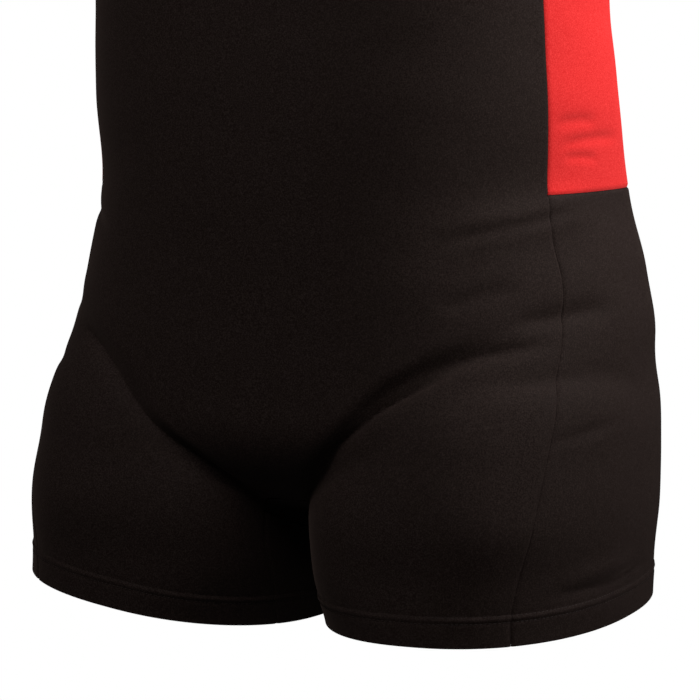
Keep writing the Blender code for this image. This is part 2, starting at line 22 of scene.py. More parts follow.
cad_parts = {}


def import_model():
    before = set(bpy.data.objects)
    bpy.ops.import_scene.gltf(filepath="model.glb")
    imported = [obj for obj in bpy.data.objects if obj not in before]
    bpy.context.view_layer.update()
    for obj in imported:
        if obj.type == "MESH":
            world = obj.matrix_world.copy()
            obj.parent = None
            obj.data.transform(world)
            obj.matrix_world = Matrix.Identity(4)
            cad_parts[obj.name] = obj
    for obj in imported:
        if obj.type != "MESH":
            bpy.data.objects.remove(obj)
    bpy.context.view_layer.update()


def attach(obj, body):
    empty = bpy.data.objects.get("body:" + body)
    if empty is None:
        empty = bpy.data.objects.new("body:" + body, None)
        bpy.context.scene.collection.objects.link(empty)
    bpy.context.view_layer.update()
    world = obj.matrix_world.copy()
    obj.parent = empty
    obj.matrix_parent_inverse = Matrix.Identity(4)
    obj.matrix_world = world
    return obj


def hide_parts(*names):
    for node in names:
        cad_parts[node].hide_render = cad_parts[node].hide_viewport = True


log = logging.getLogger("singlet")

MM = 0.001
# Heights over the leg's cut of the fine rows in its hem band, close together at both stitched rows.
HEM_BAND = tuple(above * MM for above in (21.1, 20.6, 20.1, 19.4, 18.6, 17.7, 16.9, 16.2, 15.5, 14.6, 13.2,
                                          11.2, 9.0, 6.8, 4.6, 2.8, 1.6, 0.8, 0.0))
Rows = tuple[tuple[float, float, float], ...]
Parts = tuple[tuple[str, int], ...]
Colour = tuple[float, float, float, float]
WHITE: Colour = (1.0, 1.0, 1.0, 1.0)
OPEN_END = -1


class Side(Enum):
    """The wearer's two sides, as the sign of X."""

    LEFT = 1
    RIGHT = -1

    @property
    def word(self) -> str:
        """The side's name, as it ends the name of a piece."""
        return self.name.lower()

    @property
    def mirror(self) -> np.ndarray:
        """What turns a point of the left half into a point of this one, and back."""
        return np.array([float(self.value), 1.0, 1.0])


@dataclass(frozen=True)
class Section:
    """One rounded section of the form: its height, its centre and its reach four ways.

    The roundness is 2 for a plain ellipse and more for a squarer one.  The half that faces the
    other leg has its own, inner.
    """

    z: float
    centre_x: float
    centre_y: float
    half_width: float
    front: float
    back: float
    inner: float = 2.25


@dataclass(frozen=True)
class Hem:
    """The plane that cuts one leg: height at x = y = 0, rise per metre outwards and per metre back."""

    height: float
    rise_out: float
    rise_back: float

    def above(self, points: np.ndarray) -> np.ndarray:
        """Height of points of the left half above the cut."""
        return points[..., 2] - self.height - self.rise_out * points[..., 0] - self.rise_back * points[..., 1]


# Sections: z, centre_x, centre_y, half_width, front, back, and the roundness of the inner half.
TORSO = (
    Section(0.020, 0.0, 0.018, 0.186, 0.112, 0.104),
    Section(-0.080, 0.0, 0.014, 0.190, 0.128, 0.112),
    Section(-0.180, 0.0, 0.010, 0.190, 0.140, 0.118),
    Section(-0.260, 0.0, 0.014, 0.186, 0.149, 0.116),
    Section(-0.320, 0.0, 0.022, 0.183, 0.158, 0.108),
    Section(-0.390, 0.0, 0.037, 0.187, 0.174, 0.092),
    Section(-0.455, 0.0, 0.055, 0.188, 0.191, 0.083),
    Section(-0.510, 0.0, 0.052, 0.202, 0.186, 0.100),
    Section(-0.560, 0.0, 0.040, 0.210, 0.174, 0.128),
    Section(-0.620, 0.0, 0.024, 0.196, 0.160, 0.136),
    Section(-0.700, 0.0, 0.004, 0.170, 0.146, 0.140),
)
LEG = (
    Section(-0.460, 0.110, 0.020, 0.100, 0.130, 0.130),
    Section(-0.560, 0.110, 0.023, 0.105, 0.138, 0.140),
    Section(-0.620, 0.111, 0.012, 0.107, 0.140, 0.141, 2.3),
    Section(-0.670, 0.1155, 0.001, 0.1055, 0.138, 0.143, 3.0),
    Section(-0.705, 0.1155, -0.003, 0.1045, 0.131, 0.139, 2.9),
    Section(-0.745, 0.118, -0.007, 0.103, 0.126, 0.132, 2.3),
    Section(-0.790, 0.121, -0.011, 0.102, 0.121, 0.123),
)
HEMS = {Side.LEFT: Hem(-0.739, 0.012, 0.062), Side.RIGHT: Hem(-0.7585, 0.162, -0.019)}


@dataclass(frozen=True)
class WornForm:
    """The rounded shape under the cloth: a torso and two legs, joined softly.

    Its distance is negative inside, zero on the cloth's outer face and positive outside.
    """

    roundness: float = 2.25
    shoulder_start: float = -0.146
    shoulder_rise: float = 0.165
    pelvis_start: float = -0.596
    pelvis_drop: float = 0.078
    leg_top: float = -0.620
    leg_rise: float = 0.110
    leg_softness: float = 0.012
    groin_softness: float = 0.010

    @staticmethod
    def section_at(rows: Sequence[Section], z: np.ndarray) -> tuple[np.ndarray, ...]:
        """The section at each height, drawn smoothly through the rows.

        Args:
            rows: Sections from the top down.
            z: Heights.

        Returns:
            centre_x, centre_y, half_width, front, back and inner at each height.
        """
        heights = np.array([row.z for row in rows])[::-1]
        values = np.array([astuple(row)[1:] for row in rows])[::-1]
        slopes = np.gradient(values, heights, axis=0)
        found = cubic(heights, values, slopes, np.clip(z, heights[0], heights[-1]))
        return tuple(np.moveaxis(found, -1, 0))

    def tube(self, rows: Sequence[Section], points: np.ndarray, side: int,
             caps: Sequence[tuple[float, float]]) -> np.ndarray:
        """Rough distance outside a stack of sections that closes where its caps start."""
        x, y, z = points[..., 0] * side, points[..., 1], points[..., 2]
        centre_x, centre_y, half_width, front, back, inner = self.section_at(rows, z)
        along = y - centre_y
        along = np.where(along < 0, -along / front, along / back)
        roundness = np.where(x < centre_x, inner, self.roundness)
        total = np.abs((x - centre_x) / half_width) ** roundness + along ** roundness
        for start, reach in caps:
            total = total + np.clip((z - start) / reach, 0, None) ** roundness
        reach = 0.5 * (half_width + 0.5 * (front + back))
        return (total ** (1 / roundness) - 1) * reach

    @staticmethod
    def soft_union(a: np.ndarray, b: np.ndarray, softness: float) -> np.ndarray:
        """The smaller of two distances, rounded where they are nearly equal."""
        overlap = np.clip(softness - np.abs(a - b), 0, None) / softness
        return np.minimum(a, b) - overlap * overlap * softness / 4

    def distance(self, points: np.ndarray) -> np.ndarray:
        """Distance of points outside the form."""
        caps = ((self.shoulder_start, self.shoulder_rise), (self.pelvis_start, -self.pelvis_drop))
        torso = self.tube(TORSO, points, 1, caps)
        legs = [self.tube(LEG, points, side, ((self.leg_top, self.leg_rise),)) for side in (1, -1)]
        return self.soft_union(torso, self.soft_union(*legs, self.leg_softness), self.groin_softness)

    def slope(self, points: np.ndarray, step: float = 0.0004) -> np.ndarray:
        """How fast the distance grows along X, Y and Z."""
        grown = np.zeros_like(points)
        for axis in range(3):
            shift = np.zeros(3)
            shift[axis] = step
            grown[..., axis] = (self.distance(points + shift) - self.distance(points - shift)) / (2 * step)
        return grown

    def normals(self, points: np.ndarray) -> np.ndarray:
        """Unit directions straight out of the form."""
        grown = self.slope(points)
        return grown / np.linalg.norm(grown, axis=-1, keepdims=True)

    def settle(self, points: np.ndarray, times: int = 4) -> np.ndarray:
        """Points moved straight onto the form."""
        for _ in range(times):
            grown = self.slope(points)
            size = np.sum(grown * grown, axis=-1, keepdims=True)
            points = points - self.distance(points)[..., None] * grown / size
        return points

    def push(self, points: np.ndarray, direction: Sequence[float]) -> np.ndarray:
        """Points deep inside the form carried out to it along one direction."""
        way = np.array(direction, dtype=float)
        near = 8 * MM
        for _ in range(60):
            depth = -self.distance(points)
            points = points + np.where(depth > near, depth * 0.9, 0.0)[..., None] * way
        return self.settle(points, 8)


def cubic(knots: np.ndarray, values: np.ndarray, slopes: np.ndarray, at: np.ndarray) -> np.ndarray:
    """A smooth curve through rows of values.

    Args:
        knots: Where the rows lie, rising.
        values: The rows.
        slopes: How fast the values grow at each knot.
        at: Where the curve is read.

    Returns:
        One row for each place in at.
    """
    i = np.clip(np.searchsorted(knots, at) - 1, 0, len(knots) - 2)
    span = (knots[i + 1] - knots[i])[..., None]
    t = (at[..., None] - knots[i][..., None]) / span
    start = (1 + 2 * t) * (1 - t) ** 2 * values[i] + t * (1 - t) ** 2 * span * slopes[i]
    end = t * t * (3 - 2 * t) * values[i + 1] + t * t * (t - 1) * span * slopes[i + 1]
    return start + end


def lengths(points: np.ndarray) -> np.ndarray:
    """Distance along a line of points, from its first one."""
    steps = np.linalg.norm(np.diff(points, axis=0), axis=1)
    return np.concatenate(([0.0], np.cumsum(steps)))


def smooth(rows: Rows, parts: int = 240) -> np.ndarray:
    """A smooth line through a few points.

    One that starts or ends on the middle plane meets it squarely, and one all on it stays there.

    Args:
        rows: The points, as x, y, z.
        parts: Steps along the line.

    Returns:
        The line's points.
    """
    knots = np.array(rows, dtype=float)
    along = lengths(knots)
    slopes = np.gradient(knots, along, axis=0)
    in_middle = bool((knots[:, 0] == 0).all())
    if knots[0, 0] == 0 and not in_middle:
        slopes[0] = (1.0, 0.0, 0.0)
    if knots[-1, 0] == 0 and not in_middle:
        slopes[-1] = (-1.0, 0.0, 0.0)
    points = cubic(along, knots, slopes, np.linspace(0, along[-1], parts + 1))
    if in_middle:
        points[:, 0] = 0
    return points


def along_line(points: np.ndarray, shares: np.ndarray) -> np.ndarray:
    """Points at the given shares of a line's length."""
    length = lengths(points)
    return np.stack([np.interp(shares * length[-1], length, points[:, axis]) for axis in range(3)], axis=1)


def parted(points: np.ndarray, height: Callable[[np.ndarray], np.ndarray]) -> tuple[np.ndarray, np.ndarray]:
    """A line that comes down through height zero, as the part above and the part below."""
    value = height(points)
    i = int(np.argmax(value < 0))
    t = value[i - 1] / (value[i - 1] - value[i])
    meeting = points[i - 1] + t * (points[i] - points[i - 1])
    return np.vstack([points[:i], meeting]), np.vstack([meeting, points[i:]])


def nearest(points: np.ndarray, path: np.ndarray, reach: float) -> tuple[np.ndarray, np.ndarray]:
    """The gap from each point to a path, and how far along the path it is.

    Args:
        points: Points in rows, n by 3.
        path: The path's points.
        reach: Gaps beyond this aren't worked out, and come back as ten times it.

    Returns:
        The gaps and the distances along the path.
    """
    gaps = np.full(len(points), 10 * reach)
    places = np.zeros(len(points))
    along = lengths(path)
    for first in range(0, len(path) - 1, 12):
        part = path[first:first + 13]
        low, high = part.min(0) - reach, part.max(0) + reach
        close = np.where(((points > low) & (points < high)).all(1))[0]
        steps = part[1:] - part[:-1]
        away = points[close][:, None] - part[:-1]
        t = np.clip((away * steps).sum(2) / np.maximum((steps * steps).sum(1), 1e-12), 0, 1)
        gap = np.linalg.norm(away - t[..., None] * steps, axis=2)
        best = np.argmin(gap, axis=1)
        each = np.arange(len(close))
        gap, t = gap[each, best], t[each, best]
        nearer = gap < gaps[close]
        span = along[first + best + 1] - along[first + best]
        gaps[close[nearer]] = gap[nearer]
        places[close[nearer]] = (along[first + best] + t * span)[nearer]
    return gaps, places


@dataclass(frozen=True)
class Fold:
    """A ridge, or a trough where its height is negative, along a path on the cloth.

    Its shape across is 2 for a soft roll and 1 for a crease that comes to a line.
    """

    height: float
    half_width: float
    path: Rows
    fade: float = 0.30
    shape: float = 2.0

    def lift(self, points: np.ndarray) -> np.ndarray:
        """How far the fold lifts each point."""
        path = smooth(self.path, 60)
        gap, place = nearest(points, path, (5 if self.shape < 2 else 3) * self.half_width)
        share = place / lengths(path)[-1]
        end = np.clip(np.minimum(share, 1 - share) / self.fade, 0, 1)
        return self.height * end * end * (3 - 2 * end) * np.exp(-((gap / self.half_width) ** self.shape))


# Folds: height and half width in metres, then the points of the path.
FOLDS = (
    # Right groin: the broad hollow, its sharp bottom, the edge above it and a second line lower down.
    Fold(-0.0040, 0.0085, ((-0.180, -0.059, -0.548), (-0.150, -0.093, -0.556), (-0.111, -0.117, -0.581),
                           (-0.074, -0.127, -0.617), (-0.045, -0.121, -0.636), (-0.015, -0.088, -0.662))),
    Fold(-0.0030, 0.0026, ((-0.165, -0.080, -0.548), (-0.146, -0.096, -0.558), (-0.122, -0.112, -0.574),
                           (-0.102, -0.121, -0.593), (-0.083, -0.126, -0.611), (-0.064, -0.124, -0.625),
                           (-0.047, -0.119, -0.635), (-0.033, -0.111, -0.645), (-0.017, -0.086, -0.660)),
         0.12, 1.0),
    Fold(0.0012, 0.0050, ((-0.100, -0.124, -0.583), (-0.080, -0.129, -0.602), (-0.060, -0.127, -0.617),
                          (-0.043, -0.122, -0.627), (-0.029, -0.113, -0.637), (-0.014, -0.092, -0.652))),
    Fold(-0.0012, 0.0018, ((-0.062, -0.124, -0.630), (-0.048, -0.119, -0.640), (-0.035, -0.109, -0.650),
                           (-0.024, -0.096, -0.659)), 0.30, 1.0),
    # Left groin.
    Fold(-0.0036, 0.0080, ((0.170, -0.073, -0.545), (0.150, -0.093, -0.551), (0.122, -0.111, -0.566),
                           (0.095, -0.122, -0.583), (0.068, -0.128, -0.610), (0.055, -0.125, -0.624),
                           (0.012, -0.084, -0.661))),
    Fold(-0.0034, 0.0028, ((0.143, -0.100, -0.562), (0.122, -0.111, -0.573), (0.104, -0.119, -0.584),
                           (0.088, -0.124, -0.594), (0.075, -0.127, -0.606), (0.061, -0.126, -0.619),
                           (0.049, -0.120, -0.634), (0.032, -0.107, -0.649), (0.008, -0.074, -0.663)),
         0.20, 1.0),
    Fold(0.0012, 0.0070, ((0.118, -0.116, -0.556), (0.092, -0.126, -0.573), (0.068, -0.131, -0.594),
                          (0.050, -0.129, -0.613))),
    # Rolled rim at the bottom of the front.
    Fold(0.0012, 0.0024, ((-0.020, -0.096, -0.655), (-0.008, -0.082, -0.660), (0.002, -0.080, -0.6605),
                          (0.010, -0.084, -0.658)), 0.25),
    # Left hip, from the top down.
    Fold(0.0030, 0.012, ((0.118, -0.104, -0.484), (0.147, -0.078, -0.472), (0.166, -0.051, -0.468),
                         (0.187, 0.015, -0.460))),
    Fold(-0.0024, 0.0055, ((0.112, -0.110, -0.489), (0.131, -0.096, -0.479), (0.150, -0.078, -0.474),
                           (0.166, -0.055, -0.470), (0.176, -0.030, -0.466), (0.186, 0.010, -0.462)), 0.35),
    Fold(-0.0012, 0.0060, ((0.120, -0.107, -0.526), (0.150, -0.0845, -0.516), (0.168, -0.063, -0.510))),
    Fold(-0.0022, 0.010, ((0.163, -0.077, -0.539), (0.177, -0.060, -0.534), (0.188, -0.041, -0.532),
                          (0.204, 0.016, -0.528))),
    Fold(-0.0012, 0.0050, ((0.150, -0.090, -0.545), (0.170, -0.068, -0.535), (0.185, -0.047, -0.532),
                           (0.197, -0.012, -0.529), (0.202, 0.012, -0.529)), 0.35),
    Fold(-0.0024, 0.0050, ((0.112, -0.116, -0.577), (0.128, -0.109, -0.566), (0.146, -0.096, -0.558),
                           (0.165, -0.0805, -0.553), (0.179, -0.064, -0.550), (0.190, -0.045, -0.548)), 0.35),
    Fold(-0.0020, 0.010, ((0.125, -0.117, -0.583), (0.158, -0.101, -0.575), (0.181, -0.079, -0.572),
                          (0.192, -0.062, -0.572), (0.209, -0.013, -0.573), (0.214, 0.047, -0.589))),
    Fold(-0.0008, 0.0045, ((0.150, -0.106, -0.578), (0.172, -0.088, -0.573), (0.188, -0.068, -0.571),
                           (0.205, -0.030, -0.572)), 0.4),
    Fold(-0.0012, 0.0045, ((0.186, -0.092, -0.616), (0.200, -0.070, -0.611), (0.212, -0.035, -0.606),
                           (0.217, 0.000, -0.603)), 0.4),
    # The left leg bulges over its hem at the side.
    Fold(-0.0028, 0.0030, ((0.188, -0.102, -0.7140), (0.205, -0.078, -0.7120), (0.214, -0.056, -0.7110),
                           (0.219, -0.026, -0.7100), (0.220, 0.013, -0.7060), (0.216, 0.045, -0.7060)),
         0.40, 1.0),
    Fold(0.0014, 0.0065, ((0.194, -0.094, -0.706), (0.212, -0.060, -0.702), (0.219, -0.026, -0.700),
                          (0.220, 0.020, -0.697)), 0.40),
    # Small wrinkles at the waist, in the left side piece.
    Fold(-0.0010, 0.0040, ((0.175, -0.034, -0.405), (0.182, -0.010, -0.403), (0.187, 0.019, -0.405))),
    Fold(-0.0012, 0.0036, ((0.174, -0.030, -0.419), (0.183, 0.006, -0.416), (0.187, 0.054, -0.417))),
    Fold(-0.0010, 0.0030, ((0.176, -0.024, -0.4275), (0.182, 0.000, -0.428), (0.186, 0.022, -0.431))),
    # The side that the photograph hides, and the back.
    Fold(-0.0020, 0.0060, ((-0.128, -0.101, -0.486), (-0.155, -0.074, -0.474), (-0.180, -0.020, -0.466),
                           (-0.186, 0.030, -0.466)), 0.35),
    Fold(-0.0024, 0.0080, ((-0.168, -0.072, -0.537), (-0.186, -0.044, -0.533), (-0.202, 0.004, -0.532),
                           (-0.205, 0.050, -0.540)), 0.35),
    Fold(-0.0018, 0.0060, ((-0.170, -0.090, -0.580), (-0.195, -0.060, -0.574), (-0.212, 0.000, -0.577),
                           (-0.210, 0.055, -0.592)), 0.35),
    Fold(-0.0012, 0.0040, ((-0.176, -0.026, -0.421), (-0.185, 0.012, -0.418), (-0.183, 0.052, -0.420))),
    Fold(-0.0030, 0.0080, ((0.030, 0.148, -0.655), (0.070, 0.146, -0.646), (0.120, 0.140, -0.638),
                           (0.165, 0.118, -0.634), (0.195, 0.085, -0.630)), 0.35),
    Fold(-0.0030, 0.0085, ((-0.026, 0.147, -0.652), (-0.068, 0.146, -0.648), (-0.115, 0.142, -0.644),
                           (-0.162, 0.121, -0.636), (-0.190, 0.092, -0.626)), 0.35),
    Fold(-0.0018, 0.0065, ((0.060, 0.145, -0.668), (0.110, 0.138, -0.660), (0.155, 0.118, -0.662))),
    Fold(-0.0020, 0.0090, ((-0.110, 0.086, -0.395), (-0.060, 0.112, -0.402), (0.000, 0.122, -0.399),
                           (0.066, 0.112, -0.404), (0.118, 0.084, -0.392)), 0.4),
    Fold(-0.0016, 0.0075, ((-0.128, 0.074, -0.428), (-0.070, 0.104, -0.438), (-0.010, 0.118, -0.440),
                           (0.052, 0.112, -0.433), (0.105, 0.088, -0.441)), 0.4),
    Fold(0.0012, 0.0100, ((-0.085, 0.105, -0.418), (-0.020, 0.122, -0.420), (0.060, 0.114, -0.418))),
    Fold(-0.0014, 0.0090, ((-0.090, 0.113, -0.300), (-0.030, 0.130, -0.318), (0.045, 0.128, -0.312),
                           (0.095, 0.110, -0.296))),
)


@dataclass
class Cut:
    """The seams and edges of one half of the garment, on the form.

    The tables give the wearer's left half.  Seams come down to the leg's cut and a little past it.
    """

    form: WornForm
    side: Side
    colour_seam: float = -0.452
    band_top: float = 0.0215
    lines: dict[str, np.ndarray] = field(default_factory=dict)

    SHOULDER: Rows = ((0.075, 0.018, 0.009), (0.102, 0.018, -0.003), (0.130, 0.018, -0.019))
    FRONT_NECKLINE: Rows = ((0.075, 0.018, 0.009), (0.073, -0.060, -0.030), (0.070, -0.095, -0.090),
                            (0.060, -0.115, -0.140), (0.038, -0.128, -0.182), (0.0, -0.132, -0.200))
    FRONT_ARMHOLE: Rows = ((0.130, 0.018, -0.019), (0.127, -0.040, -0.045), (0.122, -0.075, -0.095),
                           (0.124, -0.092, -0.150), (0.138, -0.090, -0.202), (0.156, -0.071, -0.242),
                           (0.171, -0.046, -0.262))
    BACK_NECKLINE: Rows = ((0.075, 0.018, 0.009), (0.072, 0.080, -0.020), (0.062, 0.106, -0.075),
                           (0.038, 0.116, -0.118), (0.0, 0.120, -0.135))
    BACK_ARMHOLE: Rows = ((0.130, 0.018, -0.019), (0.124, 0.070, -0.040), (0.112, 0.098, -0.100),
                          (0.114, 0.106, -0.160), (0.132, 0.102, -0.208), (0.151, 0.092, -0.242),
                          (0.166, 0.078, -0.261))
    UNDERARM: Rows = ((0.171, -0.046, -0.262), (0.181, -0.020, -0.272), (0.186, 0.015, -0.276),
                      (0.179, 0.053, -0.272), (0.166, 0.078, -0.261))
    SIDE_FRONT: Rows = ((0.171, -0.046, -0.262), (0.172, -0.042, -0.322), (0.174, -0.038, -0.388),
                        (0.173, -0.034, -0.440), (0.176, -0.036, -0.477), (0.184, -0.036, -0.512),
                        (0.190, -0.044, -0.540), (0.196, -0.063, -0.574), (0.199, -0.077, -0.602),
                        (0.194, -0.093, -0.645), (0.189, -0.103, -0.680), (0.183, -0.112, -0.722),
                        (0.182, -0.112, -0.765))
    SIDE_FRONT_RIGHT: Rows = ((0.171, -0.046, -0.262), (0.171, -0.050, -0.322), (0.170, -0.059, -0.388),
                              (0.167, -0.066, -0.440), (0.172, -0.062, -0.477), (0.180, -0.060, -0.512),
                              (0.188, -0.062, -0.540), (0.195, -0.070, -0.574), (0.198, -0.080, -0.602),
                              (0.194, -0.093, -0.645), (0.189, -0.103, -0.680), (0.183, -0.112, -0.722),
                              (0.182, -0.112, -0.765))
    SIDE_BACK: Rows = ((0.166, 0.078, -0.261), (0.164, 0.077, -0.320), (0.167, 0.084, -0.390),
                       (0.168, 0.097, -0.455), (0.180, 0.103, -0.510), (0.190, 0.098, -0.560),
                       (0.200, 0.088, -0.620), (0.196, 0.082, -0.700), (0.194, 0.078, -0.765))
    CENTRE_FRONT: Rows = ((0.0, -0.132, -0.200), (0.0, -0.136, -0.300), (0.0, -0.137, -0.400),
                          (0.0, -0.134, -0.500), (0.0, -0.134, -0.600), (0.0, -0.112, -0.644),
                          (0.0, -0.070, -0.665))
    CENTRE_BACK: Rows = ((0.0, 0.120, -0.135), (0.0, 0.130, -0.260), (0.0, 0.129, -0.390),
                         (0.0, 0.150, -0.510), (0.0, 0.156, -0.600), (0.0, 0.122, -0.648),
                         (0.0, 0.076, -0.668))
    GUSSET_FRONT_END: Rows = ((0.0, -0.070, -0.665), (0.008, -0.073, -0.6645), (0.016, -0.080, -0.664))
    GUSSET_BACK_END: Rows = ((0.0, 0.076, -0.668), (0.007, 0.076, -0.668), (0.0135, 0.077, -0.672))
    GUSSET_FRONT_SIDE: Rows = ((0.016, -0.080, -0.664), (0.017, -0.080, -0.6675), (0.0175, -0.080, -0.671))
    GUSSET_BACK_SIDE: Rows = ((0.0135, 0.077, -0.672), (0.0125, 0.055, -0.681), (0.011, 0.030, -0.687),
                              (0.0105, 0.0, -0.689), (0.0105, -0.022, -0.688), (0.011, -0.040, -0.685),
                              (0.0125, -0.053, -0.681), (0.0145, -0.066, -0.676), (0.0175, -0.080, -0.671))
    INSEAM: Rows = ((0.0175, -0.080, -0.671), (0.018, -0.080, -0.688), (0.0175, -0.076, -0.703),
                    (0.018, -0.070, -0.716), (0.0195, -0.065, -0.730), (0.0215, -0.059, -0.749),
                    (0.023, -0.055, -0.775))

    def __post_init__(self) -> None:
        """Draw every line on the form."""
        for name in ("SHOULDER", "FRONT_NECKLINE", "FRONT_ARMHOLE", "BACK_NECKLINE", "BACK_ARMHOLE",
                     "UNDERARM", "CENTRE_FRONT", "CENTRE_BACK", "GUSSET_FRONT_END", "GUSSET_BACK_END",
                     "GUSSET_FRONT_SIDE", "GUSSET_BACK_SIDE"):
            self.lines[name.lower()] = self.form.settle(smooth(getattr(self, name)))
        side_front = self.SIDE_FRONT if self.side is Side.LEFT else self.SIDE_FRONT_RIGHT
        for name, rows in (("side_front", side_front), ("side_back", self.SIDE_BACK)):
            whole = self.form.settle(smooth(rows, 480))
            self.lines[name] = whole
            upper, rest = parted(whole, lambda p: p[..., 2] - self.colour_seam)
            lower, _ = parted(rest, lambda p: self.hem.above(p) - self.band_top)
            self.lines[name + "_upper"] = upper
            self.lines[name + "_lower"] = lower
        whole = self.form.settle(smooth(self.INSEAM))
        self.lines["inseam_whole"] = whole
        self.lines["inseam"], _ = parted(whole, lambda p: self.hem.above(p) - self.band_top)
        level = np.linspace(self.lines["side_front_upper"][-1], self.lines["side_back_upper"][-1], 81)
        level[1:-1] = self.form.push(level[1:-1], (1, 0, 0))
        level[:, 2] = self.colour_seam
        self.lines["colour"] = self.form.settle(level)

    @property
    def hem(self) -> Hem:
        """The plane this half's leg is cut off at."""
        return HEMS[self.side]

    def crossing(self, seam: str, above: float) -> np.ndarray:
        """The point of a seam at one height above the hem."""
        upper, _ = parted(self.lines[seam], lambda p: self.hem.above(p) - above)
        return self.form.settle(upper[-1][None])[0]

    def ring(self, above: float, first: np.ndarray, last: np.ndarray, shares: np.ndarray,
             turn: int) -> np.ndarray:
        """A row of points round the leg at one height above its hem.

        Args:
            above: The height above the cut.
            first: The row's first point, which gives its bearing.
            last: Its last point.
            shares: Where the points lie between the two, from 0 to 1.
            turn: 1 where the bearing grows from first to last, -1 where it falls.

        Returns:
            The points.
        """
        at = np.array(self.hem.height + 0.02)
        centre_x, centre_y = self.form.section_at(LEG, at)[:2]
        bearings = [math.atan2(end[0] - centre_x, centre_y - end[1]) for end in (first, last)]
        if (bearings[1] - bearings[0]) * turn <= 0:
            bearings[1] += turn * 2 * math.pi
        bearing = bearings[0] + shares * (bearings[1] - bearings[0])
        near, far = np.full(len(shares), 0.04), np.full(len(shares), 0.20)
        points = np.zeros((len(shares), 3))
        for _ in range(40):
            reach = 0.5 * (near + far)
            x = centre_x + reach * np.sin(bearing)
            y = centre_y - reach * np.cos(bearing)
            z = self.hem.height + self.hem.rise_out * x + self.hem.rise_back * y + above
            points = np.stack([x, y, z], axis=1)
            inside = self.form.tube(LEG, points, 1, ()) < 0
            near, far = np.where(inside, reach, near), np.where(inside, far, reach)
        return points


